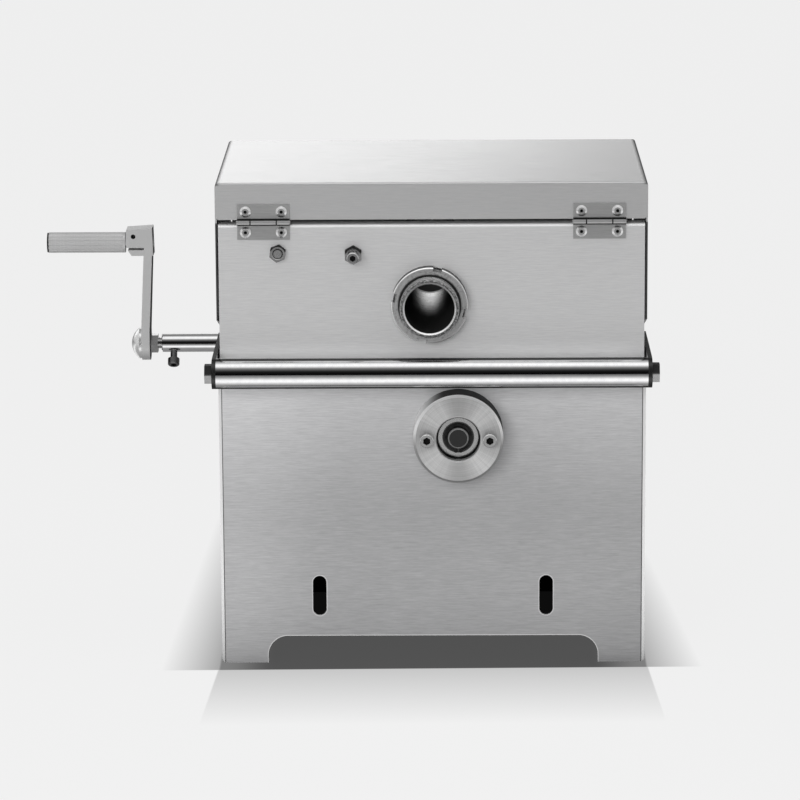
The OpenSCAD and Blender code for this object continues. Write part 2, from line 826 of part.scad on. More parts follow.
module main_bearing_outer_rings() {
    color("lightgray") in_row_frame() at_both_ends() facing_rear(main_x, bearing_y, main_z)
        bearing_outer(main_bearing_d / 2, main_ring_r + main_shield_gap, main_ring_wall, main_bearing_w);
}

module main_bearing_inner_rings() {
    color("gray") in_row_frame() at_both_ends() facing_rear(main_x, bearing_y, main_z)
        ring(main_ring_r, main_seat_d / 2, main_bearing_w);
}

// A snap ring open at the bottom, with a lug on each side of its gap
module snap_ring(groove_r, r, t) {
    lug = 2.2;
    difference() {
        union() {
            cylinder(r = r, h = t);
            for (s = [-1, 1]) translate([s * lug * 0.8, -r, 0]) cylinder(r = lug * 0.65, h = t);
        }
        translate([0, 0, -1]) cylinder(r = groove_r, h = t + 2);
        translate([-lug * 0.3, -2 * r, -1]) cube([lug * 0.6, 2 * r, t + 2]);
    }
}

module main_snap_rings() {
    color("dimgray") in_row_frame() at_both_ends()
        facing_rear(main_x, bearing_y - main_bearing_w, main_z)
            snap_ring(main_seat_d / 2 - 0.5, main_seat_d / 2 + 2.4, snap_ring_t);
}

// ---- Main shaft ----

module main_shaft() {
    tip = 0.8;
    end = -flange_t + shaft_recess;
    seat_r = main_seat_d / 2;
    groove = bearing_y - main_bearing_w;
    color("lightgray") in_row_frame() translate([main_x, 0, main_z]) rotate([-90, 0, 0]) difference() {
        union() {
            translate([0, 0, end + tip]) cylinder(r = seat_r, h = cabinet_d - 2 * (end + tip));
            translate([0, 0, bearing_y]) cylinder(d = main_body_d, h = cabinet_d - 2 * bearing_y);
            translate([0, 0, end]) cylinder(r1 = seat_r - tip, r2 = seat_r, h = tip);
            translate([0, 0, cabinet_d - end - tip]) cylinder(r1 = seat_r, r2 = seat_r - tip, h = tip);
        }
        for (z = [groove - snap_ring_t, cabinet_d - groove]) translate([0, 0, z])
            difference() {
                cylinder(r = seat_r + 1, h = snap_ring_t);
                translate([0, 0, -1]) cylinder(r = seat_r - 0.5, h = snap_ring_t + 2);
            }
    }
}

// A spur wheel with a hub, a thinner web and round holes through the web
module spur_wheel(n, turn, face, hub_r, bore_r, hub_l, holes, hole_r, hole_at) {
    rim_r = gear_module * (n / 2 - 1.25) - 3.5;
    web_cut = face * 0.25;
    difference() {
        union() {
            difference() {
                spur_teeth(n, gear_module, turn, face);
                for (z = [-1, face - web_cut]) translate([0, 0, z]) cylinder(r = rim_r, h = web_cut + 1);
            }
            cylinder(r = hub_r, h = face + hub_l);
        }
        translate([0, 0, -1]) cylinder(r = bore_r, h = face + hub_l + 2);
        if (holes > 0) for (k = [0:holes - 1]) rotate(360 * (k + 0.5) / holes) translate([hole_at, 0, -1])
            cylinder(r = hole_r, h = face + 2);
    }
}

main_from = atan2(main_z - spindle_z, main_dx);
spindle_turn = 0;
main_turn = mesh_turn(spindle_turn, spindle_teeth, main_teeth, main_from);

module main_gear() {
    color("darkgray") in_row_frame() facing_rear(main_x, wide_gear_y, main_z)
        mirror([0, 0, 1]) translate([0, 0, -wide_face])
            spur_wheel(main_teeth, main_turn, wide_face, 19, main_body_d / 2, 8, 6, 9.5, 34);
}

module main_bevel_gear() {
    half_pitch = 180 / bevel_teeth;
    color("gray") in_row_frame() translate([main_x, cross_y, main_z]) rotate([-90, 0, 0])
        bevel_gear(180 + half_pitch, main_body_d, 17, bevel_r + bevel_back);
}

// ---- Spindle ----

module spindle_housing() {
    facing_rear(spindle_x, sheet + housing_depth, spindle_z)
        ring(housing_r, spindle_bearing_d / 2, housing_depth);
}

module rear_spindle_housing() {
    color("silver") in_row_frame() spindle_housing();
}

module front_spindle_housing() {
    color("silver") in_row_frame() at_front() spindle_housing();
}

module housing_snap_rings() {
    color("dimgray") in_row_frame() at_both_ends()
        facing_rear(spindle_x, sheet + spindle_bearing_w + 2, spindle_z)
            bore_snap_ring(spindle_bearing_d / 2, 3, 2);
}

// Snap rings that hold the bearings in the bores of the flanges
module flange_snap_rings() {
    color("dimgray") in_row_frame() at_both_ends()
        facing_rear(main_x, bearing_y - main_bearing_w, main_z) bore_snap_ring(main_bearing_d / 2, 1.5, 1.2);
}

module bore_snap_ring(r, wall, t) {
    difference() {
        ring(r, r - wall, t);
        translate([-r * 0.1, -2 * r, -1]) cube([r * 0.2, 2 * r, t + 2]);
    }
}

module spindle_bearing_outer_rings() {
    color("lightgray") in_row_frame() at_both_ends()
        facing_rear(spindle_x, sheet + spindle_bearing_w, spindle_z)
        bearing_outer(spindle_bearing_d / 2, inner_ring_r + spindle_shield_gap, spindle_ring_wall,
            spindle_bearing_w);
}

module spindle_bearing_inner_rings() {
    color("gray") in_row_frame() at_both_ends() facing_rear(spindle_x, sheet + spindle_bearing_w, spindle_z)
        ring(inner_ring_r, spindle_seat_d / 2, spindle_bearing_w);
}

module hollow_spindle() {
    seat_end = sheet + spindle_bearing_w;
    lip = 0.8;
    mouth = 1;
    thread_r = spindle_thread_d / 2;
    color("whitesmoke") in_row_frame() translate([spindle_x, 0, spindle_z]) rotate([-90, 0, 0]) difference() {
        union() {
            translate([0, 0, -spindle_proud + lip])
                cylinder(r = thread_r, h = cabinet_d + 2 * (spindle_proud - lip));
            translate([0, 0, sheet]) cylinder(d = spindle_seat_d, h = cabinet_d - 2 * sheet);
            translate([0, 0, seat_end]) cylinder(d = spindle_body_d, h = cabinet_d - 2 * seat_end);
            translate([0, 0, -spindle_proud]) cylinder(r1 = thread_r - lip, r2 = thread_r, h = lip);
            translate([0, 0, cabinet_d + spindle_proud - lip])
                cylinder(r1 = thread_r, r2 = thread_r - lip, h = lip);
        }
        translate([0, 0, -spindle_proud - 1])
            cylinder(d = spindle_bore, h = cabinet_d + 2 * spindle_proud + 2);
        for (e = [0, 1])
            translate([0, 0, e * cabinet_d]) mirror([0, 0, e]) translate([0, 0, -spindle_proud]) {
                cylinder(d1 = spindle_bore + 2 * mouth, d2 = spindle_bore, h = mouth);
                translate([0, 0, eps - 1]) cylinder(d = spindle_bore + 2 * mouth, h = 1);
            }
    }
}

module spindle_gear() {
    color("darkgray") in_row_frame() facing_rear(spindle_x, wide_gear_y, spindle_z)
        mirror([0, 0, 1]) translate([0, 0, -wide_face])
            spur_wheel(spindle_teeth, spindle_turn, wide_face, 31, spindle_body_d / 2, 10, 0, 0, 0);
}

// A round nut with four notches in its rim, its face at z = 0 and its hub behind it
module slotted_nut(hub_l) {
    notch_w = 6.5;
    notch_depth = 3;
    turn = -12.5;
    chamfer = 0.8;
    bevel = 1.2;
    difference() {
        union() {
            translate([0, 0, -nut_t]) cylinder(d = nut_d, h = nut_t - chamfer);
            translate([0, 0, -chamfer]) cylinder(d1 = nut_d, d2 = nut_d - 2 * chamfer, h = chamfer);
            translate([0, 0, -nut_t - hub_l]) cylinder(r = nut_hub_r, h = hub_l + eps);
        }
        translate([0, 0, -nut_t - hub_l - 1]) cylinder(d = spindle_thread_d, h = nut_t + hub_l + 2);
        translate([0, 0, -bevel])
            cylinder(d1 = spindle_thread_d, d2 = spindle_thread_d + 2 * bevel, h = bevel);
        translate([0, 0, -eps]) cylinder(d = spindle_thread_d + 2 * bevel, h = 1);
        for (k = [0:3]) rotate(turn + 90 * k)
            translate([-notch_w / 2, nut_d / 2 - notch_depth, -nut_t - 1]) cube([notch_w, nut_d, nut_t + 2]);
    }
}

module slotted_nuts() {
    color("gray") in_row_frame() {
        facing_rear(spindle_x, -nut_gap - nut_t, spindle_z) slotted_nut(nut_gap + sheet);
        at_front() facing_rear(spindle_x, -disc_hub_l - disc_t - nut_t, spindle_z) slotted_nut(0);
    }
}

// The disc that carries the thread round, clamped to the spindle's front end
module winding_disc() {
    hub = disc_hub_l + sheet;
    color("silver") in_row_frame() at_front() facing_rear(spindle_x, 0, spindle_z) difference() {
        union() {
            translate([0, 0, disc_hub_l]) cylinder(d = disc_d, h = disc_t - 1);
            translate([0, 0, disc_hub_l + disc_t - 1]) cylinder(d1 = disc_d, d2 = disc_d - 2, h = 1);
            translate([0, 0, -sheet]) cylinder(r = nut_hub_r, h = hub + eps);
        }
        translate([0, 0, -sheet - 1]) cylinder(d = spindle_thread_d, h = hub + disc_t + 2);
        translate([0, disc_d / 2 - 9, disc_hub_l - 1]) cylinder(d = m6, h = disc_t + 2);
        translate([0, -disc_d / 2 + 14, disc_hub_l - 1]) cylinder(d = 14, h = disc_t + 2);
    }
}

module thread_eyelet() {
    color("whitesmoke") in_row_frame() at_front()
        facing_rear(spindle_x, -disc_hub_l, spindle_z + disc_d / 2 - 9) {
            cylinder(d = m6, h = disc_t + eyelet_stem);
            translate([0, 0, disc_t]) cylinder(d = 9, h = 1.6);
            translate([0, 0, disc_t + eyelet_stem + eyelet_r]) rotate([0, 90, 0])
                rotate_extrude() translate([eyelet_r, 0]) circle(r = eyelet_wire_r, $fn = 24);
        }
}

// ---- Drive bracket and bushes ----

crank_bush_r = crank_d / 2 + bush_wall;
cross_bush_r = cross_d / 2 + bush_wall;

// One leg, drawn with local x up and local y towards the front
module bracket_leg() {
    pad = 9;
    base_half = 34;
    linear_extrude(bracket_t) difference() {
        union() {
            translate([crank_z, crank_y]) circle(crank_bush_r + pad);
            translate([cross_z, cross_y]) circle(cross_bush_r + pad);
            polygon([[crank_z, crank_y - crank_bush_r - pad], [bracket_floor_z, cross_y - base_half],
                [bracket_floor_z, cross_y + base_half], [cross_z, cross_y + cross_bush_r + pad],
                [crank_z, crank_y + crank_bush_r + pad]]);
        }
        translate([crank_z, crank_y]) circle(crank_bush_r);
        translate([cross_z, cross_y]) circle(cross_bush_r);
    }
}

module bracket_screw_places() {
    low = bracket_floor_z + 14;
    high = crank_z - 24;
    for (p = [[low, -20], [low, 20], [high, -22], [high, 8]])
        facing_left(-half_w, cross_y + p[1], p[0]) children();
}

module drive_bracket() {
    base_half = 34;
    color("darkgray") in_row_frame() {
        difference() {
            facing_left(bracket_left + bracket_t, 0, 0) bracket_leg();
            bracket_screw_places() flush_hole(sheet + bracket_t);
        }
        facing_left(bracket_right, 0, 0) bracket_leg();
        translate([bracket_left, cross_y - base_half, bracket_floor_z - bracket_t + eps])
            cube([bracket_right - bracket_left, 2 * base_half, bracket_t]);
    }
}

// A flanged bush, its flange on the side that local z leaves
module flanged_bush(shaft_d, l) {
    wall_r = shaft_d / 2 + bush_wall;
    difference() {
        union() {
            translate([0, 0, -l]) cylinder(r = wall_r, h = l + eps);
            cylinder(r = wall_r + bush_flange_w, h = bush_flange);
        }
        translate([0, 0, -l - 1]) cylinder(r = shaft_d / 2 + bush_play, h = l + bush_flange + 2);
    }
}

module crankshaft_bushes() {
    color("goldenrod") in_row_frame() {
        facing_left(bracket_left + bracket_t, crank_y, crank_z) mirror([0, 0, 1])
            flanged_bush(crank_d, bracket_t + sheet);
        facing_left(bracket_right - bracket_t, crank_y, crank_z) flanged_bush(crank_d, bracket_t + 2);
    }
}

module cross_shaft_bushes() {
    color("goldenrod") in_row_frame() {
        facing_left(bracket_left + bracket_t, cross_y, cross_z) mirror([0, 0, 1])
            flanged_bush(cross_d, bracket_t);
        facing_left(bracket_right - bracket_t, cross_y, cross_z) flanged_bush(cross_d, bracket_t + 2);
    }
}

// ---- Crank ----

module crankshaft() {
    chamfer = 0.7;
    color("whitesmoke") in_row_frame() {
        difference() {
            facing_left(crankshaft_end, crank_y, crank_z)
                cylinder(d = crank_d, h = crankshaft_end - crank_left - chamfer);
            facing_left(crank_left + 24, crank_y, crank_z) cylinder(d = m8, h = 30);
            clamp_place() translate([0, 0, 2]) cylinder(d = m5, h = crank_d);
            facing_left(crank_groove_x, crank_y, crank_z) difference() {
                cylinder(d = crank_d + 2, h = snap_ring_t);
                translate([0, 0, -1]) cylinder(d = crank_d - 1, h = snap_ring_t + 2);
            }
        }
        facing_left(crank_left + chamfer, crank_y, crank_z) difference() {
            cylinder(d1 = crank_d, d2 = crank_d - 2 * chamfer, h = chamfer);
            translate([0, 0, -1]) cylinder(d = m8, h = chamfer + 2);
        }
    }
}

module clamp_place() translate([clamp_x, crank_y, crank_z]) rotate([180 - clamp_turn, 0, 0]) children();

module clamp_screw() {
    color("gray") in_row_frame() clamp_place() translate([0, 0, clamp_reach - clamp_head_h])
        socket_screw(m5, clamp_reach - clamp_head_h - m8 / 2, clamp_head_d, clamp_head_h, 4);
}

module crankshaft_snap_ring() {
    color("dimgray") in_row_frame() facing_left(crank_groove_x, crank_y, crank_z) rotate(-90)
        snap_ring(crank_d / 2 - 0.5, crank_d / 2 + 2.2, snap_ring_t);
}

crank_gear_turn = 0;
cross_from = atan2(cross_y - crank_y, cross_z - crank_z);
cross_gear_turn = mesh_turn(crank_gear_turn, crank_teeth, cross_teeth, cross_from);

module crank_gear() {
    color("darkgray") in_row_frame() facing_left(crank_gear_right, crank_y, crank_z)
        spur_wheel(crank_teeth, crank_gear_turn, narrow_face, 13, crank_d / 2, narrow_hub_l, 6, 3.6, 19);
}

// The threaded stud in the crankshaft's end, with a plain neck where it shows
module crank_stud() {
    color("lightgray") in_row_frame() facing_left(crank_left + 20, crank_y, crank_z)
        cylinder(d = m8, h = crank_left + 20 - arm_left);
}

module crank_nut() {
    color("whitesmoke") in_row_frame() facing_left(arm_right + crank_nut_h, crank_y, crank_z) difference() {
        hexagon(m8_flats, crank_nut_h);
        translate([0, 0, -1]) cylinder(d = m8, h = crank_nut_h + 2);
    }
}

// The arm: a flat bar, wider at the boss, that leans in and ends in the grip's block
module arm_side() {
    hub_r = 12.5;
    top_r = 8.5;
    union() {
        circle(hub_r);
        polygon([[0, -hub_r], [crank_throw, -top_r], [crank_throw, top_r], [0, hub_r]]);
    }
}

module arm_edge() {
    top = crank_throw + block_top;
    polygon([[arm_left, -15], [arm_right, -15], [arm_right, 10], [arm_right + arm_lean, top],
        [arm_left + arm_lean, top], [arm_left, 10]]);
}

// The grip's block, slotted below the grip's spindle so that a lip is left under it
module block_edge() {
    lip = 4.3;
    difference() {
        polygon([[block_right, -block_bottom], [block_left + 4.5, -block_bottom],
            [block_left + 2, lip - 0.8 - block_bottom], [block_left + 1, -2.5], [block_left, 0],
            [block_left + 0.6, block_top - 1.3], [block_right - 0.6, block_top]]);
        translate([block_left - 1, lip - block_bottom])
            square([arm_left + arm_lean - block_left + 0.5, block_slot]);
    }
}

// Extrudes an outline drawn in x and z along y, the same way to both sides
module across(w) translate([0, w / 2, 0]) rotate([90, 0, 0]) linear_extrude(w) children();

module crank_arm() {
    pin_d = 3.2;
    color("lightgray") in_row_frame() translate([0, crank_y, crank_z]) difference() {
        union() {
            intersection() {
                facing_left(arm_right + 20, 0, 0) linear_extrude(60) arm_side();
                across(60) arm_edge();
            }
            translate([0, 0, crank_throw]) across(block_w) block_edge();
        }
        facing_left(arm_right + 1, 0, 0) cylinder(d = m8, h = arm_t + 2);
        facing_left(block_right + 1, 0, crank_throw) cylinder(d = grip_spindle_d, h = 40);
        translate([arm_left - 4.8, block_w, crank_throw + 5.6])
            rotate([90, 0, 0]) cylinder(d = pin_d, h = 2 * block_w);
    }
}

// The domed cap over the arm's nut end: part of a sphere on a short rim
module arm_cap() {
    rim = 2;
    r = boss_d / 2;
    dome = cap_h - rim;
    sphere_r = (r * r + dome * dome) / (2 * dome);
    color("lightgray") in_row_frame() facing_left(arm_left, crank_y, crank_z) {
        cylinder(r = r, h = rim + eps);
        intersection() {
            translate([0, 0, cap_h - sphere_r]) sphere(r = sphere_r);
            translate([0, 0, rim]) cylinder(r = r + 1, h = cap_h);
        }
    }
}

module grip_spindle() {
    head = 4.5;
    pocket = grip_left + 6;
    color("lightgray") in_row_frame() facing_left(block_right - 1, crank_y, grip_z) {
        cylinder(d = grip_spindle_d, h = block_right - 1 - pocket);
        translate([0, 0, block_right - 1 - pocket]) cylinder(r = head, h = 1.6);
    }
}

module grip() {
    flute_r = 1.15;
    pocket = 6;
    head_play = 0.5;
    bore_r = grip_spindle_d / 2 + grip_play;
    color("gainsboro") in_row_frame() facing_left(grip_right, crank_y, grip_z) difference() {
        cylinder(d = grip_d, h = grip_l);
        translate([0, 0, -1]) cylinder(r = bore_r, h = grip_l + 2);
        translate([0, 0, grip_l - pocket - head_play]) cylinder(r = 5, h = pocket + head_play + 1);
        for (k = [0:grip_flutes - 1]) rotate(360 * k / grip_flutes)
            translate([grip_d / 2 + flute_r * 0.25, 0, 1.4]) cylinder(r = flute_r, h = grip_l, $fn = 24);
    }
}

module grip_end_cap() {
    color("black") in_row_frame() facing_left(grip_left, crank_y, grip_z) {
        cylinder(d = grip_d - 0.6, h = end_cap_t);
        translate([0, 0, -3]) cylinder(r = 5, h = 3 + eps);
    }
}

// ---- Cross shaft ----

bevel_small = (bevel_cone - bevel_face) / sqrt(2);
pinion_back = bracket_right + 2 + 0.6;

module cross_shaft() {
    right = main_x - bevel_small - 1;
    left = bracket_left + 0.4;
    color("lightgray") in_row_frame() facing_left(right, cross_y, cross_z)
        cylinder(d = cross_d, h = right - left);
}

module cross_gear() {
    color("darkgray") in_row_frame() facing_left(crank_gear_right, cross_y, cross_z)
        spur_wheel(cross_teeth, cross_gear_turn, narrow_face, 11, cross_d / 2, narrow_hub_l, 0, 0, 0);
}

module cross_bevel_pinion() {
    color("gray") in_row_frame() facing_left(main_x, cross_y, cross_z)
        bevel_gear(90, cross_d, 13, main_x - pinion_back);
}

// ---- Thread posts ----

module spool_post() {
    shoulder = 3;
    color("lightgray") in_row_frame() facing_rear(-post_x, 0, post_z) {
        translate([0, 0, -sheet - eps]) cylinder(d = m6, h = sheet + post_nut_h);
        translate([0, 0, -sheet - shoulder]) cylinder(d = 16, h = shoulder);
        translate([0, 0, -sheet - 70]) cylinder(d = m8, h = 70 - shoulder + eps);
        translate([0, 0, -sheet - 72]) cylinder(d1 = m6, d2 = m8, h = 2 + eps);
    }
}

module post_nut() {
    bevel = 1.1;
    color("lightgray") in_row_frame() facing_rear(-post_x, 0, post_z) difference() {
        rotate(-9) hexagon(post_nut_flats, post_nut_h);
        translate([0, 0, -1]) cylinder(d = m6, h = post_nut_h + 2);
        translate([0, 0, post_nut_h - bevel]) cylinder(d1 = m6, d2 = m6 + 4 * bevel, h = 2 * bevel);
    }
}

// The thread tension screw stands out of the plate by its lock nut and more
module tension_screw() {
    color("gray") in_row_frame() facing_rear(-tension_x, 0, tension_z)
        translate([0, 0, tension_head_z])
            socket_screw(m5, tension_head_z + sheet + 16, m5_head_d, m5, m5_socket);
}

module tension_nuts() {
    color("lightgray") in_row_frame() facing_rear(-tension_x, 0, tension_z) difference() {
        union() {
            hexagon(tension_nut_flats, post_nut_h);
            translate([0, 0, -sheet - 10]) hexagon(10, 4.8);
        }
        translate([0, 0, -sheet - 11]) cylinder(d = m5, h = sheet + post_nut_h + 12);
    }
}

// Two dished discs that pinch the thread, rim to rim
module tension_discs() {
    rim_r = 9;
    color("whitesmoke") in_row_frame() facing_rear(-tension_x, 0, tension_z) for (s = [0, 1])
        translate([0, 0, -sheet - 2.6]) mirror([0, 0, s]) difference() {
            union() {
                translate([0, 0, 0.2]) cylinder(r = rim_r, h = 0.9);
                translate([0, 0, 1.1 - eps]) cylinder(r1 = rim_r * 0.7, r2 = rim_r * 0.5, h = 1.5);
            }
            translate([0, 0, -1]) cylinder(d = m5, h = 6);
        }
}

rear_lower_panel();
rear_upper_plate();
front_lower_panel();
front_upper_plate();
left_side_panel();
right_side_panel();
hood_shell();
hinge_hood_leaves();
hood_rivets();
hinge_body_leaves();
hinge_pins();
body_rivets();
guide_bar();
bar_end_plugs();
bar_straps();
bar_bolts();
side_screws();
rear_bearing_flange();
front_bearing_flange();
flange_screws();
flange_nuts();
main_bearing_outer_rings();
main_bearing_inner_rings();
main_snap_rings();
main_shaft();
main_gear();
main_bevel_gear();
rear_spindle_housing();
front_spindle_housing();
housing_snap_rings();
flange_snap_rings();
spindle_bearing_outer_rings();
spindle_bearing_inner_rings();
hollow_spindle();
spindle_gear();
slotted_nuts();
winding_disc();
thread_eyelet();
drive_bracket();
crankshaft_bushes();
cross_shaft_bushes();
crankshaft();
crank_gear();
crankshaft_snap_ring();
clamp_screw();
crank_stud();
crank_nut();
crank_arm();
arm_cap();
grip_spindle();
grip();
grip_end_cap();
cross_shaft();
cross_gear();
cross_bevel_pinion();
spool_post();
post_nut();
tension_screw();
tension_nuts();
tension_discs();
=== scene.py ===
import bpy
import bmesh
import json
import math
from mathutils import Matrix, Vector


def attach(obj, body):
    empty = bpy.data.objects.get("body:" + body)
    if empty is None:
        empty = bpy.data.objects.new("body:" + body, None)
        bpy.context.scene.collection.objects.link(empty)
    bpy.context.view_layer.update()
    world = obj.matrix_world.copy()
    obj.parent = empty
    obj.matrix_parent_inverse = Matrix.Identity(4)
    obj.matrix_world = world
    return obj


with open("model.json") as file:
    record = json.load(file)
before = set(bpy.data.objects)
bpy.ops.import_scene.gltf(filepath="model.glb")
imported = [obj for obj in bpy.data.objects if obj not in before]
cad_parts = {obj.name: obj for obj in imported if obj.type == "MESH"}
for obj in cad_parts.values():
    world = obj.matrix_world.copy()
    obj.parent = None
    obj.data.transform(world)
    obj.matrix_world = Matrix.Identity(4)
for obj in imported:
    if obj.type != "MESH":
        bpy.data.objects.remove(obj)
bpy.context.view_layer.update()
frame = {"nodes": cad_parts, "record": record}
nodes = frame["nodes"]
print("frame loaded:", len(nodes), "solids")

mm = 0.001
boreMiddle = next(m["pos_m"] for m in frame["record"]["mounts"] if m["name"] == "spindle_bore")

# the axes that pieces turn or were cut about, in cabinet millimetres:
# x from its middle, y from its hinge side, z from the table
cabinetMiddle = 100
spindleAxis = (-1.5, cabinetMiddle, 268.5)
mainAxis = (18.8, cabinetMiddle, 172.626)
crankAxis = (0, 90, 221.4)
gripAxis = (0, 90, 297.6)
crossAxis = (0, 101.002, 172.626)
postAxis = (-110.5, 0, 305.6)
tensionAxis = (-56.3, 0, 304.3)
barAxis = (0, -25, 222.3)
hingeX, hingeZ = 120.5, 328.3  # the hinges' middles, and their pins' height
shiftX = boreMiddle[0] / mm - spindleAxis[0]  # from the cabinet's own axes to the frame's
shiftY = boreMiddle[1] / mm - spindleAxis[1]


def spot(x, y, z):  # cabinet millimetres to frame metres
    return Vector(((x + shiftX) * mm, (y + shiftY) * mm, z * mm))


# camera
cameraSet = {
    "place": (8.46, -2907.9, 837.6),  # cabinet millimetres
    "pitch": 0.2168,
    "yaw": 0.0109,
    "roll": -0.0059,
    "focal": 4112.77,  # pixels of an 800 pixel frame
    "frame": 800,
    "sensor": 36.0,
    "far": 60,
}


def makeCamera(s):
    lens = bpy.data.cameras.new("camera")
    lens.sensor_width = s["sensor"]
    lens.lens = s["focal"] * s["sensor"] / s["frame"]
    lens.clip_end = s["far"]
    shot = bpy.data.objects.new("camera", lens)
    bpy.context.scene.collection.objects.link(shot)
    turn = (Matrix.Rotation(s["yaw"], 4, "Z") @ Matrix.Rotation(math.pi / 2 - s["pitch"], 4, "X")
            @ Matrix.Rotation(s["roll"], 4, "Z"))
    shot.matrix_world = Matrix.Translation(spot(*s["place"])) @ turn
    bpy.context.scene.camera = shot


makeCamera(cameraSet)
print("camera placed")


# shader building
class Flow:  # one value running through a material, with arithmetic on it
    def __init__(self, tree, socket):
        self.tree = tree
        self.socket = socket

    def maths(self, sort, first, second=None):
        step = self.tree.nodes.new("ShaderNodeMath")
        step.operation = sort
        for place, part in enumerate((first, second)):
            if isinstance(part, Flow):
                self.tree.links.new(part.socket, step.inputs[place])
            elif part is not None:
                step.inputs[place].default_value = part
        return Flow(self.tree, step.outputs[0])

    def __add__(self, other):
        return self.maths("ADD", self, other)

    def __radd__(self, other):
        return self.maths("ADD", other, self)

    def __sub__(self, other):
        return self.maths("SUBTRACT", self, other)

    def __rsub__(self, other):
        return self.maths("SUBTRACT", other, self)

    def __mul__(self, other):
        return self.maths("MULTIPLY", self, other)

    def __rmul__(self, other):
        return self.maths("MULTIPLY", other, self)

    def __truediv__(self, other):
        return self.maths("DIVIDE", self, other)

    def __rtruediv__(self, other):
        return self.maths("DIVIDE", other, self)

    def __pow__(self, other):
        return self.maths("POWER", self, other)

    def __neg__(self):
        return self.maths("MULTIPLY", self, -1)

    def __abs__(self):
        return self.maths("ABSOLUTE", self)

    def most(self, other):  # the larger of the two
        return self.maths("MAXIMUM", self, other)

    def bearing(self, other):  # the angle, in radians, that lies this far up and the other far along
        return self.maths("ARCTAN2", self, other)


class Finish:  # a material or world under construction
    def __init__(self, name, world=False):
        self.block = bpy.data.worlds.new(name) if world else bpy.data.materials.new(name)
        self.block.use_nodes = True
        self.tree = self.block.node_tree
        self.tree.nodes.clear()

    def node(self, kind, settings=None, sockets=None, out=0):
        step = self.tree.nodes.new(kind)
        for key, value in (settings or {}).items():
            if key == "stops":
                ramp = step.color_ramp
                while len(ramp.elements) < len(value):
                    ramp.elements.new(0.5)
                for stop, (place, tone) in zip(ramp.elements, value):
                    stop.position = place
                    stop.color = (tone, tone, tone, 1)
            else:
                setattr(step, key, value)
        for key, value in (sockets or {}).items():
            if isinstance(value, Flow):
                self.tree.links.new(value.socket, step.inputs[key])
            else:
                step.inputs[key].default_value = value
        return Flow(self.tree, step.outputs[out]) if len(step.outputs) else None

    def place(self, scale=(1, 1, 1), centre=(0, 0, 0)):  # object coordinates in metres, then scaled
        here = self.node("ShaderNodeTexCoord", out=3)
        offset = [-c * s for c, s in zip(centre, scale)]
        return self.node("ShaderNodeMapping", {}, {"Vector": here, "Scale": scale, "Location": offset})

    def parts(self, vector):  # x, y and z of a vector
        split = self.node("ShaderNodeSeparateXYZ", {}, {0: vector}).socket.node
        return [Flow(self.tree, split.outputs[i]) for i in range(3)]

    def apart(self, point=(0, 0, 0)):  # x, y and z in millimetres from a point of the cabinet
        return [part * 1000 for part in self.parts(self.place(centre=tuple(spot(*point))))]

    def span(self, first, second):
        return (first * first + second * second) ** 0.5

    def facing(self):  # how much a face looks along x
        return self.parts(self.node("ShaderNodeNewGeometry", out=3))[0]

    def step(self, value, low, high):  # 0 at low, 1 at high, soft between
        return self.node("ShaderNodeMapRange", {"interpolation_type": "SMOOTHSTEP"},
                         {"Value": value, "From Min": low, "From Max": high})

    def ramp(self, value, low, high, first, last):  # first at low, last at high, straight between
        ends = {"From Min": low, "From Max": high, "To Min": first, "To Max": last}
        return self.node("ShaderNodeMapRange", {"clamp": True}, {"Value": value, **ends})

    def stretch(self, value, low, high):  # a noise's middle, from 0 to 1
        return self.node("ShaderNodeMapRange", {}, {"Value": value, "From Min": low, "From Max": high})

    def noise(self, where, detail=2.0, rough=0.5):
        look = {"Scale": 1.0, "Detail": detail, "Roughness": rough}
        return self.node("ShaderNodeTexNoise", {}, {"Vector": where, **look})

    def mottle(self, waves, detail=2.0, rough=0.5):  # the same all ways, in waves to the metre
        return self.noise(self.place((waves,) * 3), detail, rough)

    def between(self, amount, low, high):  # low at 0, high at 1
        return low + amount * (high - low)

    def tint(self, amount, dark, light):
        return self.node("ShaderNodeMix", {"data_type": "RGBA"},
                         {0: amount, 6: (*dark, 1), 7: (*light, 1)}, out=2)

    def swap(self, amount, first, second):  # from one colour to another
        return self.node("ShaderNodeMix", {"data_type": "RGBA"}, {0: amount, 6: first, 7: second}, out=2)

    def blend(self, way, first, second):  # two colours multiplied or added
        settings = {"data_type": "RGBA", "blend_type": way}
        return self.node("ShaderNodeMix", settings, {0: 1.0, 6: first, 7: second}, out=2)

    def bump(self, height, distance):
        return self.node("ShaderNodeBump", {}, {"Height": height, "Distance": distance, "Strength": 1.0})

    def grey(self, tone):
        return self.node("ShaderNodeCombineColor", {}, {0: tone, 1: tone, 2: tone})

    def shell(self, dull=None, **sockets):  # dull is how much, and in what colour, a matt skin takes over, mostly as painted shade
        names = {"colour": "Base Color", "metal": "Metallic", "rough": "Roughness", "normal": "Normal"}
        shade = self.node("ShaderNodeBsdfPrincipled", {}, {names[k]: v for k, v in sockets.items()})
        if dull:
            amount, tone = dull
            matt = {"Base Color": tone, "Roughness": 0.7, "Specular IOR Level": 0.05}
            skin = self.node("ShaderNodeBsdfPrincipled", {}, matt)
            shade = self.node("ShaderNodeMixShader", {}, {0: amount, 1: shade, 2: skin})
        self.node("ShaderNodeOutputMaterial", {}, {"Surface": shade})
        return self.block


# brushed metals
def even(tone, blue=0.0):  # a grey, or one a little to the blue
    return tone, tone, tone + blue


# the tones of painted shade and of painted highlights
paintedShadeTone = (*even(0.01), 1)
paintedHighlightTone = (*even(0.98), 1)

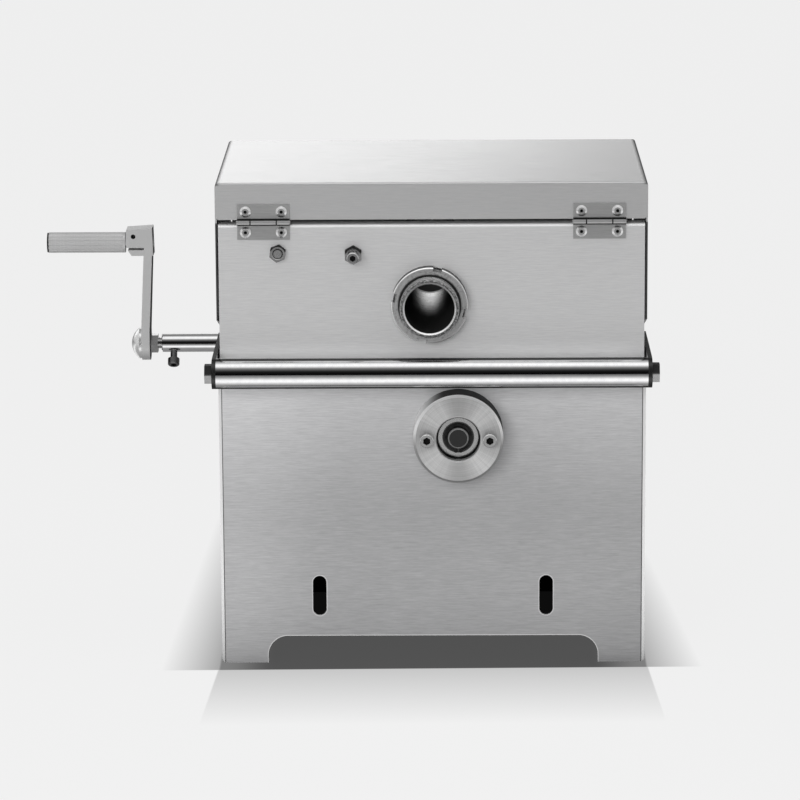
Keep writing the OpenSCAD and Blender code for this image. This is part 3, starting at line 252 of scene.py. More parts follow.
brushedSet = {  # "run" is the way its streaks lie, and two keys name its places of painted shade and of painted highlights
    "panelSteel": {"dark": even(0.35, 0.005), "light": even(0.46, 0.005), "rough": (0.34, 0.48),
                   "grain": 0.00003, "metal": 0.35, "run": 0, "pit": "panelShade", "shine": "cutEdges",
                   "liftTop": (100, 215, 0.54), "liftLeft": (-50, -150, 0.24)},  # painted light: from, to, how much paler
    "sideSteel": {"dark": even(0.50, 0.005), "light": even(0.62, 0.005), "rough": (0.32, 0.46),
                  "grain": 0.00003, "metal": 0.6, "run": 1, "shine": "sideEdge"},
    "plateSteel": {"dark": even(0.66, 0.005), "light": even(0.76), "rough": (0.34, 0.44),
                   "grain": 0.00002, "metal": 0.45, "run": 0, "shine": "topFold"},
    "hoodSteel": {"dark": even(0.65, 0.005), "light": even(0.72), "rough": (0.20, 0.27),
                  "grain": 0.000006, "metal": 0.6, "run": 0, "pit": "lidEdge"},
    "hingeSteel": {"dark": even(0.40), "light": even(0.50), "rough": (0.28, 0.40),
                   "grain": 0.00001, "metal": 0.6, "run": 0, "pit": "knuckleGap"},
}
streakSet = {  # waves to the metre along and across, the noise's detail and roughness, and the layer's share
    "streak": (75, 1300, 3.0, 0.6, 0.7),
    "fine": (260, 3600, 2.0, 0.5, 0.3),
    "cloud": 9,
    "cloudShare": 0.15,
    "middle": (0.34, 0.66),
}


def brushedSteel(name, s):
    f = Finish(name)
    layers = []
    for long, thin, detail, soft, share in (streakSet["streak"], streakSet["fine"]):
        where = f.place([long if i == s["run"] else thin for i in range(3)])
        layers.append(f.noise(where, detail, soft) * share)
    both = layers[0] + layers[1]
    cloud = f.mottle(streakSet["cloud"]) * streakSet["cloudShare"]
    tone = f.stretch(both * (1 - streakSet["cloudShare"]) + cloud, *streakSet["middle"])
    rough = f.between(tone, s["rough"][1], s["rough"][0])
    colour = f.tint(tone, s["dark"], s["light"])
    # painted light: the panel's colour paler towards its top and towards its left
    if "liftTop" in s:
        x, y, z = f.apart()
        more = 1
        for value, (low, high, share) in ((z, s["liftTop"]), (x, s["liftLeft"])):
            more = more + f.step(value, low, high) * share
        colour = f.blend("MULTIPLY", colour, f.grey(more))
    # painted highlights, and painted shade as a dark matt skin, where marks are named
    if "shine" in s:
        colour = f.swap(marked(f, s["shine"]), colour, paintedHighlightTone)
    dull = (marked(f, s["pit"]), paintedShadeTone) if "pit" in s else None
    return f.shell(dull, colour=colour, metal=s["metal"], rough=rough, normal=f.bump(both, s["grain"]))


# turned metals
turnedSet = {  # how far each finish is from smooth
    "turnedSteel": {"dark": even(0.42), "light": even(0.62), "rough": (0.22, 0.34), "groove": 0.00004,
                    "metal": 0.85},
    "satinAluminium": {"dark": even(0.52), "light": even(0.68), "rough": (0.30, 0.44), "groove": 0.00005,
                       "metal": 0.6},
    "castGrey": {"dark": even(0.50), "light": even(0.58), "rough": (0.40, 0.52), "groove": 0.00001,
                 "metal": 0.35},
    "gripAluminium": {"dark": even(0.50), "light": even(0.60), "rough": (0.36, 0.46), "groove": 0.00001,
                      "metal": 0.35},
    "nutSteel": {"dark": even(0.46), "light": even(0.74), "rough": (0.18, 0.28), "groove": 0.00004,
                 "metal": 0.7},
    "domeSteel": {"dark": even(0.72), "light": even(0.86), "rough": (0.16, 0.26), "groove": 0.00001,
                  "metal": 0.7},
}
grooveSet = {
    "perMetre": 2600,
    "stain": 60,
    "stainShare": 0.2,
    "middle": (0.36, 0.64),
}


def turned(name, s, point, along, zones=None):  # grooved round an axis through a point of the cabinet
    f = Finish(name)
    flat = f.parts(f.place(centre=tuple(spot(*point))))
    flat.pop(along)
    ring = (flat[0] * flat[0] + flat[1] * flat[1]) ** 0.5
    length = f.parts(f.place())[along]
    waves = grooveSet["perMetre"]
    line = f.node("ShaderNodeCombineXYZ", {}, {0: ring * waves, 1: length * waves})
    grooves = f.noise(line, 3.0, 0.6)
    stain = f.mottle(grooveSet["stain"]) * grooveSet["stainShare"]
    tone = f.stretch(grooves * (1 - grooveSet["stainShare"]) + stain, *grooveSet["middle"])
    colour = f.tint(tone, s["dark"], s["light"])
    rough = f.between(tone, s["rough"][1], s["rough"][0])
    dull = None
    if zones:
        colour, dull = zones(f, colour, ring * 1000, point)
    return f.shell(dull, colour=colour, metal=s["metal"], rough=rough, normal=f.bump(grooves, s["groove"]))


# zones of the turned pieces, mostly painted shade and painted highlights: most pairs are where a zone starts
# and where it is full, in millimetres, or in noise for speckle and pits
boreSet = {
    "rearEnd": 123,  # from the spindle's middle
    "wall": (18.25, 18.05),
    "wallStart": (0.9, 1.6),
    "patchSide": (14.5, 1),
    "patchStart": (60, 135),
    "patchEnd": (157, 152),
    "patchTop": (4, -6),
    "glintStart": (155, 156.5),
    "glintEnd": (160, 158),
    "glint": 0.4,
    "grit": 700,
    "thread": (20.95, 21.05),
    "threadEnd": (13.5, 12.5),
    "threadGrit": (0.42, 0.62),
    "threadDark": (0.45, 0.25),  # everywhere, then more where the speckle is
    "rim": (19.2, 19.0),
    "rimEnd": (1.2, 0.8),
    "face": (19.1, 19.3),
    "faceEdge": (21.05, 20.95),
    "faceGrit": (0.38, 0.60),
    "faceDark": (0.15, 0.75),
    "tones": (0.05, 0.025),  # the dark parts' tone, and how much less the wall's is
}


def boreZone(f, colour, ring, point):  # painted shade down the spindle's bore, but for a painted highlight patch and glint far down it and on its rim; its thread and end face darker in speckled patches
    s = boreSet
    x, y, z = f.apart(point)
    depth = y + s["rearEnd"]
    wall = f.step(ring, *s["wall"]) * f.step(depth, *s["wallStart"])
    patch = f.step(abs(x), *s["patchSide"]) * f.step(depth, *s["patchStart"])
    patch = patch * f.step(depth, *s["patchEnd"]) * f.step(z, *s["patchTop"])
    glint = f.step(depth, *s["glintStart"]) * f.step(depth, *s["glintEnd"]) * s["glint"]
    grit = f.mottle(s["grit"], 2.0, 0.7)
    thread = f.step(ring, *s["thread"]) * f.step(depth, *s["threadEnd"])
    thread = thread * (s["threadDark"][0] + f.step(grit, *s["threadGrit"]) * s["threadDark"][1])
    rim = f.step(ring, *s["rim"]) * f.step(depth, *s["rimEnd"])
    face = f.step(ring, *s["face"]) * f.step(ring, *s["faceEdge"])
    face = face * (s["faceDark"][0] + f.step(grit, *s["faceGrit"]) * s["faceDark"][1])
    dark = wall * (1 - patch - glint) + thread + face
    return f.swap(wall.most(rim), colour, paintedHighlightTone), (dark, f.grey(s["tones"][0] - wall * s["tones"][1]))


nutSet = {
    "grit": 620,
    "mouth": (23.2, 22.6),
    "mouthDark": 0.95,
    "side": (27.60, 27.66),
    "sideUp": (-4, 10),
    "sideDark": (0.40, 0.45),  # below, then how much more above
    "pits": (0.52, 0.66),
    "pitsEnd": (26.6, 26.2),
    "pitsDark": 0.4,
    "chamfer": (26.8, 27.0),
    "chamferUp": (-10, 30),
    "chamferLight": (0.35, 0.65),
    "tone": (*even(0.03), 1),
}


def nutZone(f, colour, ring, point):  # painted shade in its thread's mouth and on its outer side, more above; dark random pits on its face; a painted highlight on its chamfer, more up and to the left
    s = nutSet
    x, y, z = f.apart(point)
    grit = f.mottle(s["grit"], 2.0, 0.7)
    mouth = f.step(ring, *s["mouth"]) * s["mouthDark"]
    side = f.step(ring, *s["side"]) * (s["sideDark"][0] + f.step(z, *s["sideUp"]) * s["sideDark"][1])
    pits = f.step(grit, *s["pits"]) * f.step(ring, *s["pitsEnd"]) * s["pitsDark"]
    up = f.step(z - x, *s["chamferUp"]) * s["chamferLight"][1]
    chamfer = f.step(ring, *s["chamfer"]) * (s["chamferLight"][0] + up)
    return f.swap(chamfer, colour, paintedHighlightTone), (mouth + side + pits, s["tone"])


flangeSet = {
    "side": (32.50, 32.56),
    "sideRight": (-30, -10),
    "sideUp": (-12, 12),
    "sideTone": (*even(0.045), 1),
    "face": (16.5, 17.5),
    "fan": 9,  # waves to the radian
    "fanShare": (0.06, 0.36),  # everywhere, then more in the wedges
    "wedge": 0.24,
    "between": 0.14,
    "chamfer": (30.6, 30.8),
    "chamferUp": (-8, 10),
    "chamferLight": (0.55, 0.22),  # how much lighter above, and how much darker below
}


def flangeZone(f, colour, ring, point):  # painted shade on its rim's side, up and to the right; a painted sheen in four wedges on its face; painted light and shade on its chamfer, above and below
    s = flangeSet
    x, y, z = f.apart(point)
    side = f.step(ring, *s["side"]) * f.step(x, *s["sideRight"]) * f.step(z, *s["sideUp"])
    fan = f.noise(f.node("ShaderNodeCombineXYZ", {}, {0: z.bearing(x) * s["fan"], 1: 0.3}), 3.0, 0.7) - 0.5
    cross = x * z / (ring * ring + 1)  # half the sine of twice the angle; the 1 keeps the middle finite
    wedges = cross * cross * 4
    chamfer = f.step(ring, *s["chamfer"])
    sheen = wedges * s["wedge"] - s["between"] + fan * (s["fanShare"][0] + wedges * s["fanShare"][1])
    sheen = sheen * f.step(ring, *s["face"]) * (1 - chamfer)
    edge = chamfer * (f.step(z, *s["chamferUp"]) * s["chamferLight"][0] - s["chamferLight"][1])
    return f.blend("ADD", colour, f.grey(sheen + edge)), (side, s["sideTone"])


shaftSet = {"end": (6.65, 6.45), "tone": (*even(0.03), 1)}


def shaftZone(f, colour, ring, point):  # the dull black end of the main shaft inside its bright chamfer
    return colour, (f.step(ring, *shaftSet["end"]), shaftSet["tone"])


armSet = {
    "hole": (-220.5, 0, 303.2),
    "holeWide": (1.9, 1.6),
    "facing": (0.75, 0.95),
    "tones": (0.01, 0.06),  # the hole's tone, and how much more the face's is
}


def armZone(f, colour, ring, point):  # painted shade on the arm's face towards the cabinet, and in the hole across its block
    x, y, z = f.apart(armSet["hole"])
    through = f.step(f.span(x, z), *armSet["holeWide"])
    side = f.step(f.facing(), *armSet["facing"])
    return colour, (side.most(through), f.grey(side * armSet["tones"][1] + armSet["tones"][0]))


# painted shade, painted reflections and painted highlights of the other pieces
def offsets(f, axes):  # cabinet millimetres from the nearest of some axes mirrored about each given value
    here = f.apart()
    for which, mirrors in axes:
        for value in mirrors:
            here[which] = abs(here[which] - value)
    return here


# painted shade: a dark round hole, in the screws' sockets and the rivets' middles
def hole(f, s):
    x, y, z = offsets(f, s["axes"])
    dark = f.step(f.span(x, z), *s["wide"])
    for ends in s["deep"]:
        dark = dark * f.step(y, *ends)
    return dark


def bearingShade(f, s):  # painted shade: in the gap outside the main bearing, and on the shield inside it
    x, y, z = offsets(f, s["axes"])
    away = f.span(x, z)
    return f.step(away, *s["gap"]) + f.step(away, *s["shield"]) * s["shieldDark"]


def nutFlats(f, s):  # painted shade on a hexagon's upper flats and, less, on its middle
    x, y, z = f.apart(s["point"])
    away = f.span(x, z)
    flats = f.step(away, *s["rim"]) * f.step(z, *s["up"]) * s["flatDark"]
    return flats + f.step(away, *s["middle"]) * s["middleDark"]


# painted shade over everything above a point's height
def upperHalf(f, s):
    return f.step(f.apart(s["point"])[2], *s["up"]) * s["dark"]


def narrowFaces(f, s):  # painted shade on all but the straps' broad faces
    return f.step(abs(f.facing()), *s["facing"]) * s["dark"]


def barLines(f, s):  # painted reflections: the bar's dark lines along its top and its underside, by the angle round it
    x, y, z = f.apart(s["point"])
    turn = z.bearing(-y) * (180 / math.pi)
    dark = 0
    for start, end, share in s["lines"]:
        dark = dark + f.step(turn, *start) * f.step(turn, *end) * share
    return dark


def lidEdge(f, s):  # painted shade on the folds along the lid's two ends, and on the skirts' cut ends
    x, y, z = offsets(f, s["axes"])
    fold = f.step(x, *s["fold"]) * f.step(z, *s["foldUp"]) * s["foldDark"]
    ends = f.step(x, *s["ends"]) * f.step(z, *s["endsDown"]) * f.step(y, *s["endsDeep"])
    return fold + ends * s["endsDark"]


def panelShade(f, s):  # painted shade in the joint beside each lower panel, and on the inside of the far one near the table
    x, y, z = offsets(f, s["axes"])
    joint = f.step(x, *s["joint"]) * f.step(y, *s["jointDeep"]) * s["jointDark"]
    return joint + f.step(y, *s["inside"]) * f.step(y, *s["insideEnd"]) * f.step(z, *s["insideDown"])


def cutEdges(f, s):  # painted highlights on the rims of the slots and of the arch
    x, y, z = offsets(f, s["axes"])
    slot = f.span(abs(x - s["slot"][0]), (abs(z - s["slot"][1]) - s["slot"][2]).most(0.0))
    arch = f.span((x - s["arch"][0]).most(0.0), (z - s["arch"][1]).most(0.0))
    rims = f.step(slot, *s["slotRim"]) * s["slotLight"] + f.step(arch, *s["archRim"]) * s["archLight"]
    return rims * f.step(y, *s["deep"])


def past(f, s):  # everything past a place along one axis
    return f.step(f.apart()[s["which"]], *s["ends"])


def knuckleGap(f, s):  # painted shade between a hinge's knuckles, and along the barrel's top and underside
    x, y, z = offsets(f, s["axes"])
    return f.step(z, *s["barrel"]) * f.step(x, *s["gap"]).most(f.step(z, *s["outside"]))


hexSet = {"rim": (4.9, 5.3), "up": (0.4, 2.4), "flatDark": 0.95, "middle": (3.9, 3.6), "middleDark": 0.45}
markSet = {  # "axes" holds, for x 0, y 1 and z 2, the values that the marks mirror about
    "flangeSocket": {"form": hole, "wide": (2.9, 2.6), "deep": ((127.8, 127.4),),
                     "axes": ((0, (mainAxis[0], 22.7)), (1, (cabinetMiddle,)), (2, (mainAxis[2],)))},
    "tensionSocket": {"form": hole, "axes": ((0, (tensionAxis[0],)), (2, (tensionAxis[2],))),
                      "wide": (2.35, 2.1), "deep": ((-16.9, -16.5), (-11, -12))},
    "rivetHole": {"form": hole, "axes": ((0, (0, hingeX, 12.9)), (2, (hingeZ, 7.48))),
                  "wide": (1.35, 1.0), "deep": ()},
    "bearingShade": {"form": bearingShade, "axes": ((0, (mainAxis[0],)), (2, (mainAxis[2],))),
                     "gap": (14.3, 14.7), "shield": (11.7, 11.3), "shieldDark": 0.9},
    "postNutFlat": {"form": nutFlats, "point": postAxis, **hexSet},
    "tensionNutFlat": {"form": nutFlats, "point": tensionAxis, **hexSet},
    "boltTop": {"form": upperHalf, "point": barAxis, "up": (-0.4, 1.2), "dark": 0.93},
    "strapEdge": {"form": narrowFaces, "facing": (0.8, 0.5), "dark": 0.92},
    "barLine": {"form": barLines, "point": barAxis,
                "lines": (((64, 69), (96, 84), 0.9), ((-49, -53), (-96, -84), 0.95))},
    "lidEdge": {"form": lidEdge, "axes": ((0, (0,)),),
                "fold": (151.2, 154.6), "foldUp": (354.0, 355.2), "foldDark": 0.8,
                "ends": (153.2, 153.6), "endsDown": (327.5, 326.5), "endsDeep": (2.5, 1.5), "endsDark": 0.9},
    "panelShade": {"form": panelShade, "axes": ((0, (0,)),),
                   "joint": (151.8, 152.3), "jointDeep": (3, 1), "jointDark": 0.65,
                   "inside": (150, 151), "insideEnd": (198.6, 198.3), "insideDown": (90, 76)},
    "cutEdges": {"form": cutEdges, "axes": ((0, (0,)),),
                 "slot": (82.75, 50.7, 10), "slotRim": (5.8, 5.4), "slotLight": 0.45,
                 "arch": (106.25, 5.8), "archRim": (15.3, 14.9), "archLight": 0.6, "deep": (3, 2)},
    "sideEdge": {"form": past, "which": 1, "ends": (1.2, 0.6)},  # painted highlight on the side panels' cut ends
    "topFold": {"form": past, "which": 2, "ends": (323.8, 324.6)},  # painted highlight along the fold on the upper plates' tops
    "knuckleGap": {"form": knuckleGap, "axes": ((0, (0, hingeX, 9.4)), (2, (hingeZ,))),
                   "barrel": (2.6, 2.4), "gap": (0.55, 0.35), "outside": (1.25, 1.6)},
}


def marked(f, name):
    return markSet[name]["form"](f, markSet[name])


# small parts
plain = {  # darkest, lightest, roughness, and the name of its painted shade, for the bar its painted dark reflections
    "polishedBar": ((0.80, 0.80, 0.81), (0.86, 0.86, 0.86), (0.06, 0.10)),
    "screwSteel": (even(0.50), even(0.62), (0.14, 0.22)),
    "flangeScrew": (even(0.66), even(0.80), (0.16, 0.26), "flangeSocket"),
    "tensionScrew": (even(0.60), even(0.74), (0.16, 0.26), "tensionSocket"),
    "darkSteel": (even(0.10), even(0.15), (0.20, 0.32)),
    "strapSteel": (even(0.50), even(0.60), (0.24, 0.34), "strapEdge"),
    "boltSteel": (even(0.50), even(0.62), (0.20, 0.30), "boltTop"),
    "tensionNut": (even(0.70), even(0.84), (0.16, 0.26), "tensionNutFlat"),
    "mainBearing": (even(0.72), even(0.80), (0.20, 0.30), "bearingShade"),
    "guideBar": ((0.80, 0.80, 0.81), (0.86, 0.86, 0.86), (0.06, 0.10), "barLine"),
    "rivetAluminium": (even(0.93), even(0.97), (0.30, 0.40), "rivetHole"),
    "bearingSteel": (even(0.80), even(0.90), (0.20, 0.30)),
    "postNut": (even(0.70), even(0.84), (0.16, 0.26), "postNutFlat"),
    "springSteel": (even(0.02), even(0.05), (0.30, 0.40)),
    "gearSteel": (even(0.34), even(0.46), (0.22, 0.34)),
    "bushBronze": ((0.50, 0.32, 0.14), (0.62, 0.42, 0.20), (0.30, 0.42)),
}
plainSet = {"mottle": 240, "middle": (0.35, 0.65), "depth": 0.000006}


def plainMetal(name, dark, light, rough, pit=None):  # faint mottling, and painted shade where a mark is named
    f = Finish(name)
    speck = f.mottle(plainSet["mottle"], 3.0, 0.6)
    tone = f.stretch(speck, *plainSet["middle"])
    dull = (marked(f, pit), paintedShadeTone) if pit else None
    return f.shell(dull, colour=f.tint(tone, dark, light), metal=1.0,
                   rough=f.between(tone, rough[1], rough[0]), normal=f.bump(speck, plainSet["depth"]))


plasticSet = {"mottle": 900, "depth": 0.00002,
              "dark": even(0.010), "light": even(0.030), "rough": (0.42, 0.6)}


def blackPlastic(name, s):
    f = Finish(name)
    speck = f.mottle(s["mottle"], 2.0, 0.6)
    return f.shell(colour=f.tint(speck, s["dark"], s["light"]), metal=0.0,
                   rough=f.between(speck, *s["rough"]), normal=f.bump(speck, s["depth"]))


# which piece wears what
finishes = {name: plainMetal(name, *look) for name, look in plain.items()}
finishes.update({name: brushedSteel(name, look) for name, look in brushedSet.items()})
finishes["plugPlastic"] = blackPlastic("plugPlastic", plasticSet)

turnedNodes = {  # finish, axis point, axis direction, and its zones
    "rear_bearing_flange": ("satinAluminium", mainAxis, 1, flangeZone),
    "front_bearing_flange": ("satinAluminium", mainAxis, 1, flangeZone),
    "rear_spindle_housing": ("satinAluminium", spindleAxis, 1),
    "front_spindle_housing": ("satinAluminium", spindleAxis, 1),
    "hollow_spindle": ("turnedSteel", spindleAxis, 1, boreZone),
    "slotted_nuts": ("nutSteel", spindleAxis, 1, nutZone),
    "winding_disc": ("turnedSteel", spindleAxis, 1),
    "main_shaft": ("turnedSteel", mainAxis, 1, shaftZone),
    "arm_cap": ("domeSteel", crankAxis, 0),
    "grip": ("gripAluminium", gripAxis, 0),
    "cross_shaft": ("turnedSteel", crossAxis, 0),
    "spool_post": ("turnedSteel", postAxis, 1),
    "tension_discs": ("turnedSteel", tensionAxis, 1),
    "crank_arm": ("castGrey", crankAxis, 0, armZone),
}
nodeFinish = {  # pieces whose finish isn't their slot's own
    "crankshaft": "polishedBar", "clamp_screw": "darkSteel",
    "bar_straps": "strapSteel", "bar_bolts": "boltSteel", "guide_bar": "guideBar",
    "left_side_panel": "sideSteel", "right_side_panel": "sideSteel",
    "flange_screws": "flangeScrew", "tension_screw": "tensionScrew",
    "post_nut": "postNut", "tension_nuts": "tensionNut",
    "main_bearing_outer_rings": "mainBearing", "main_bearing_inner_rings": "mainBearing",
}


def finishOf(slot):  # gear_steel wears gearSteel
    first, *rest = slot.split("_")
    return first + "".join(word.title() for word in rest)


def dress():
    slots = {part["node"]: part["material_slot"] for part in frame["record"]["subparts"]}
    for name, piece in nodes.items():
        if name in turnedNodes:
            kind, *way = turnedNodes[name]
            look = turned(name + "Finish", turnedSet[kind], *way)
        else:
            look = finishes[nodeFinish.get(name) or finishOf(slots[name])]
        piece.data.materials.clear()
        piece.data.materials.append(look)


dress()
print("finishes on:", len(finishes))

# threads
threadSet = {  # body, axis direction, where each thread starts, and the rest in millimetres
    "spindleThreads": {"body": "spindle", "along": (0, 1, 0), "finish": "screwSteel",
                       "places": ((-1.5, -21.6, 268.5), (-1.5, 211.1, 268.5)),
                       "radius": 21.05, "pitch": 1.5, "length": 10.5, "crest": 0.42},
    "studThread": {"body": "crank", "along": (1, 0, 0), "finish": "screwSteel",
                   "places": ((-203.8, 90, 221.4),),
                   "radius": 3.95, "pitch": 1.25, "length": 2.6, "crest": 0.3},
    "tensionThread": {"body": "cabinet", "along": (0, 1, 0), "finish": "screwSteel",
                      "places": ((-56.3, -11.8, 304.3),),
                      "radius": 2.48, "pitch": 0.8, "length": 6.6, "crest": 0.2},
}
turnPoints = 40  # to one turn of a thread


class Growth:  # a geometry node tree under construction
    def __init__(self, name, inputs):
        self.tree = bpy.data.node_groups.new(name, "GeometryNodeTree")
        self.inputs = {}
        face = self.tree.interface
        for label, kind in inputs.items():
            socket = face.new_socket(label, in_out="INPUT", socket_type="NodeSocket" + kind)
            self.inputs[label] = socket.identifier
        face.new_socket("Geometry", in_out="OUTPUT", socket_type="NodeSocketGeometry")
        self.given = self.tree.nodes.new("NodeGroupInput")

    def ask(self, label):
        return next(s for s in self.given.outputs if s.identifier == self.inputs[label])

    def node(self, kind, settings=None, sockets=None):
        step = self.tree.nodes.new(kind)
        for key, value in (settings or {}).items():
            setattr(step, key, value)
        for key, value in (sockets or {}).items():
            if isinstance(value, bpy.types.NodeSocket):
                self.tree.links.new(value, step.inputs[key])
            else:
                step.inputs[key].default_value = value
        return step.outputs[0] if len(step.outputs) else None


def threadTree():
    g = Growth("threadCrests", {"Radius": "Float", "Pitch": "Float", "Length": "Float", "Crest": "Float",
                                "Places": "Int", "Apart": "Vector", "Finish": "Material"})
    turns = g.node("ShaderNodeMath", {"operation": "DIVIDE"}, {0: g.ask("Length"), 1: g.ask("Pitch")})
    path = g.node("GeometryNodeCurveSpiral", {}, {
        "Resolution": turnPoints, "Rotations": turns, "Height": g.ask("Length"),
        "Start Radius": g.ask("Radius"), "End Radius": g.ask("Radius")})
    ridge = g.node("GeometryNodeCurvePrimitiveCircle", {}, {"Resolution": 4, "Radius": g.ask("Crest")})
    thread = g.node("GeometryNodeCurveToMesh", {}, {"Curve": path, "Profile Curve": ridge, "Fill Caps": True})
    spots = g.node("GeometryNodeMeshLine", {}, {"Count": g.ask("Places"), "Offset": g.ask("Apart")})
    copies = g.node("GeometryNodeInstanceOnPoints", {}, {"Points": spots, "Instance": thread})
    solid = g.node("GeometryNodeRealizeInstances", {}, {"Geometry": copies})
    made = g.node("GeometryNodeSetMaterial", {}, {"Geometry": solid, "Material": g.ask("Finish")})
    g.node("NodeGroupOutput", {}, {0: made})
    return g


def grow(name, g, values):  # runs the tree on an empty mesh and keeps the result
    seed = bpy.data.objects.new(name, bpy.data.meshes.new(name))
    bpy.context.scene.collection.objects.link(seed)
    stage = seed.modifiers.new("growth", "NODES")
    stage.node_group = g.tree
    for label, value in values.items():
        stage[g.inputs[label]] = value
    ready = seed.evaluated_get(bpy.context.evaluated_depsgraph_get())
    mesh = bpy.data.meshes.new_from_object(ready)
    seed.modifiers.clear()
    seed.data = mesh
    return seed


def makeThreads(name, s, g):
    along = Vector(s["along"])
    first = spot(*s["places"][0])
    turn = along.to_track_quat("Z", "Y").to_matrix().to_4x4()
    apart = turn.inverted() @ ((spot(*s["places"][-1]) - first) / max(len(s["places"]) - 1, 1))
    values = {size.title(): s[size] * mm for size in ("radius", "pitch", "length", "crest")}
    values.update({"Places": len(s["places"]), "Apart": tuple(apart), "Finish": finishes[s["finish"]]})
    piece = grow(name, g, values)
    shape = bmesh.new()
    shape.from_mesh(piece.data)
    bmesh.ops.transform(shape, matrix=Matrix.Translation(first) @ turn, verts=shape.verts)
    bmesh.ops.recalc_face_normals(shape, faces=shape.faces)
    shape.to_mesh(piece.data)
    shape.free()
    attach(piece, s["body"])


crests = threadTree()
for name, s in threadSet.items():
    makeThreads(name, s, crests)
print("threads cut:", len(threadSet))

# broken edges of the sheets
edgeSet = {  # millimetres
    "hood_shell": 0.5, "rear_upper_plate": 0.5, "front_upper_plate": 0.5, "rear_lower_panel": 0.45,
    "front_lower_panel": 0.45, "left_side_panel": 0.4, "right_side_panel": 0.4,
}
edgeAngle = math.radians(50)  # only edges sharper than this
for name, width in edgeSet.items():
    soft = nodes[name].modifiers.new("brokenEdge", "BEVEL")
    soft.width = width * mm
    soft.segments = 2
    soft.limit_method = "ANGLE"
    soft.angle_limit = edgeAngle
print("edges broken:", len(edgeSet))

# studio
studioSet = {
    "pale": 0.863,  # the backdrop's tone
    "floorReach": 14.0,
    "floorPale": 0.893,  # a little over the backdrop's, to make up for the share that shadows may take
    "floorLight": 0.30,  # what matt surfaces get from it
    "floorMatt": (even(0.02), even(0.86)),  # its colour in the darkest painted shade, under the cabinet, and in the open
    "underDark": 0.94,  # painted shade: how much of its glow the cabinet hides from other surfaces
    "shadowShare": 0.08,  # how much of the floor's tone real shadows take away
    "glowReach": 2.0,  # metres that frontGlow runs over, ahead of the cabinet and behind it
    "frontGlow": ((0.018, 0.26), (0.04, 0.46), (0.062, 0.74), (0.085, 1.08), (0.112, 1.25), (0.145, 1.15),
                  (0.195, 0.86), (0.27, 0.51), (0.41, 0.27), (0.75, 0.12),
                  (1.0, 0.08)),  # floor seen in metal
    "skyGlow": ((0.0, 0.0), (0.122, 0.01), (0.167, 0.035), (0.206, 0.09), (0.25, 0.18), (0.294, 0.34),
                (0.339, 0.78), (0.383, 1.12), (0.433, 1.20), (0.483, 1.02), (0.539, 0.62), (0.60, 0.38),
                (0.66, 0.16), (0.74, 0.08), (0.85, 0.22),
                (1.0, 0.34)),  # sky seen in metal, from the horizon in front over the top to the back
    "skySides": (0.35, 0.8, 0.62),  # where the sky's sides start, where they are full, and their glow
}
contactSet = {  # the floor's painted shade round the cabinet: cabinet millimetres, and shares of the floor's tone
    "halfWide": 154.0,
    "lip": -17.0,  # where the painted shade under the cabinet ends, ahead of its feet
    "lipSlope": 0.016,
    "lipSoft": (1.0, -1.0),
    "underSide": (157.0, 155.0),
    "underEnd": (199.8, 199.2),
    "deep": (80, 140),
    "deepDark": 0.095,
    "ground": 0.10,
    "groundSide": (116, 154),
    "groundPale": 0.14,
    "frontReach": 138.0,
    "frontTone": 0.66,
    "frontSlope": 0.045,
    "frontSide": (157.5, 156.0),
    "wedges": ((-1, 44.0, -0.037, 0.42), (1, 42.0, -0.076, 0.46)),  # painted shadows beside the cabinet: side, width, narrowing and darkest tone
    "wedgeEnd": (600, 400),
}


def plane(name, corners, look):
    sheet = bmesh.new()
    sheet.faces.new([sheet.verts.new(c) for c in corners])
    mesh = bpy.data.meshes.new(name)
    sheet.to_mesh(mesh)
    mesh.materials.append(look)
    card = bpy.data.objects.new(name, mesh)
    bpy.context.scene.collection.objects.link(card)
    return card


def contactShade(f, s):  # where the cabinet stands, and the floor's tone with its painted shade, 1 where nothing shades it
    x, y = f.apart()[:2]
    ahead = s["lip"] + x * s["lipSlope"] - y  # distance in front of the dark ground
    behind = f.step(ahead, *s["lipSoft"])
    under = behind * f.step(abs(x), *s["underSide"]) * f.step(y, *s["underEnd"])
    ground = s["ground"] + f.step(abs(x), *s["groundSide"]) * s["groundPale"]
    ground = ground - f.step(y, *s["deep"]) * s["deepDark"]
    strip = f.ramp(ahead, 0, s["frontReach"], s["frontTone"], 1.0)
    slanted = f.step(abs(x) - ahead * s["frontSlope"], *s["frontSide"])
    front = 1 - (1 - strip) * slanted * (1 - behind)
    wedges = []
    for side, wide, fall, darkest in s["wedges"]:
        wedges.append(f.ramp(x * side - s["halfWide"] - wide - y * fall, -wide, 0, darkest, 1.0))
    sides = 1 - (1 - wedges[0].most(wedges[1])) * behind * f.step(y, *s["wedgeEnd"])
    return under, under * ground + (1 - under) * front * sides


def rays(f, sort):  # 1 for rays of one sort
    return Flow(f.tree, f.node("ShaderNodeLightPath").socket.node.outputs[sort])


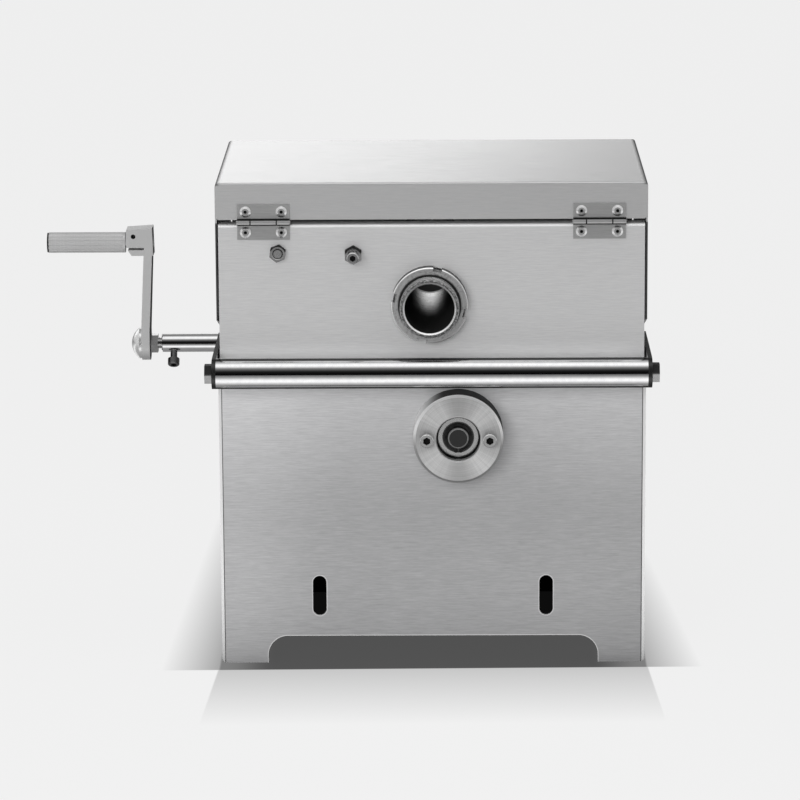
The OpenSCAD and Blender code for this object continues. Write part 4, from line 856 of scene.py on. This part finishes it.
def makeFloor(s):
    f = Finish("studioFloor")
    seen = rays(f, "Is Camera Ray")
    struck = rays(f, "Is Diffuse Ray")
    y = f.parts(f.place(centre=tuple(spot(0, 0, 0))))[1]
    halfDeep = cabinetMiddle * mm
    outside = f.ramp(abs(y - halfDeep) - halfDeep, 0, s["glowReach"], 0, 1)
    glossy = f.node("ShaderNodeValToRGB", {"stops": s["frontGlow"]}, {"Fac": outside})
    under, shade = contactShade(f, contactSet)
    sensed = (glossy * (1 - struck) + struck * s["floorLight"]) * (1 - under * s["underDark"])
    tone = seen * shade * s["floorPale"] + (1 - seen) * sensed
    glow = f.node("ShaderNodeEmission", {}, {"Color": (1, 1, 1, 1), "Strength": tone})
    matt = f.node("ShaderNodeBsdfDiffuse", {}, {"Color": f.tint(shade, *s["floorMatt"])})
    mixed = f.node("ShaderNodeMixShader", {}, {0: 1 - s["shadowShare"], 1: matt, 2: glow})
    f.node("ShaderNodeOutputMaterial", {}, {"Surface": mixed})
    reach = s["floorReach"]
    corners = [(across * reach, along * reach, 0) for across, along in ((-1, -1), (1, -1), (1, 1), (-1, 1))]
    plane("studioFloor", corners, f.block)


def makeWorld(s):
    w = Finish("studio", world=True)
    seen = rays(w, "Is Camera Ray")
    x, y, z = w.parts(w.node("ShaderNodeTexCoord", out=0))
    middle = w.node("ShaderNodeValToRGB", {"stops": s["skyGlow"]}, {"Fac": z.bearing(-y) / math.pi})
    start, full, glow = s["skySides"]
    sides = w.step(abs(x), start, full)
    sky = seen * s["pale"] + (1 - seen) * (middle * (1 - sides) + sides * glow)
    light = w.node("ShaderNodeBackground", {}, {"Color": (1, 1, 1, 1), "Strength": sky})
    w.node("ShaderNodeOutputWorld", {}, {"Surface": light})
    bpy.context.scene.world = w.block


cardSet = {  # metres
    "halfWide": 1.6,
    "back": 0.95,
    "low": 0.40,
    "high": 1.1,
    "fade": (0.20, -0.10),  # from the cabinet's middle, at the fade's height
    "fadeHeight": 0.543,
    "slant": 1.5,
    "glow": (0.51, 0.86),  # at its right, and how much more at its left
}


def makeLidCard(s):  # a board behind the machine, bright at its left, that the hood's top mirrors
    f = Finish("lidCard")
    x, y, z = f.parts(f.place())
    middle = spot(0, 0, 0).x
    dim, more = s["glow"]
    fade = f.step(x + (z - s["fadeHeight"]) * s["slant"], *(end + middle for end in s["fade"]))
    glow = f.node("ShaderNodeEmission", {}, {"Color": (1, 1, 1, 1), "Strength": fade * more + dim})
    f.node("ShaderNodeOutputMaterial", {}, {"Surface": glow})
    wide, low, high = s["halfWide"], s["low"], s["high"]
    ends = ((-wide, low), (wide, low), (wide, high), (-wide, high))
    corners = [(across, s["back"], up) for across, up in ends]
    card = plane("lidCard", corners, f.block)
    card.visible_camera = False
    card.visible_diffuse = False
    card.visible_shadow = False


boxSet = {  # metres and watts
    "place": (-0.5, -2.4, 0.85),
    "aim": (0, 0, 0.2),
    "size": (1.8, 1.2),
    "power": 46,
}


def softbox(name, s):
    lamp = bpy.data.lights.new(name, "AREA")
    lamp.shape = "RECTANGLE"
    lamp.size, lamp.size_y = s["size"]
    lamp.energy = s["power"]
    box = bpy.data.objects.new(name, lamp)
    way = (Vector(s["aim"]) - Vector(s["place"])).to_track_quat("-Z", "Y")
    box.matrix_world = Matrix.Translation(s["place"]) @ way.to_matrix().to_4x4()
    box.visible_camera = False
    box.visible_glossy = False
    bpy.context.scene.collection.objects.link(box)


makeFloor(studioSet)
makeWorld(studioSet)
makeLidCard(cardSet)
softbox("frontSoftbox", boxSet)
print("studio lit")

bpy.context.scene.view_settings.view_transform = "Standard"
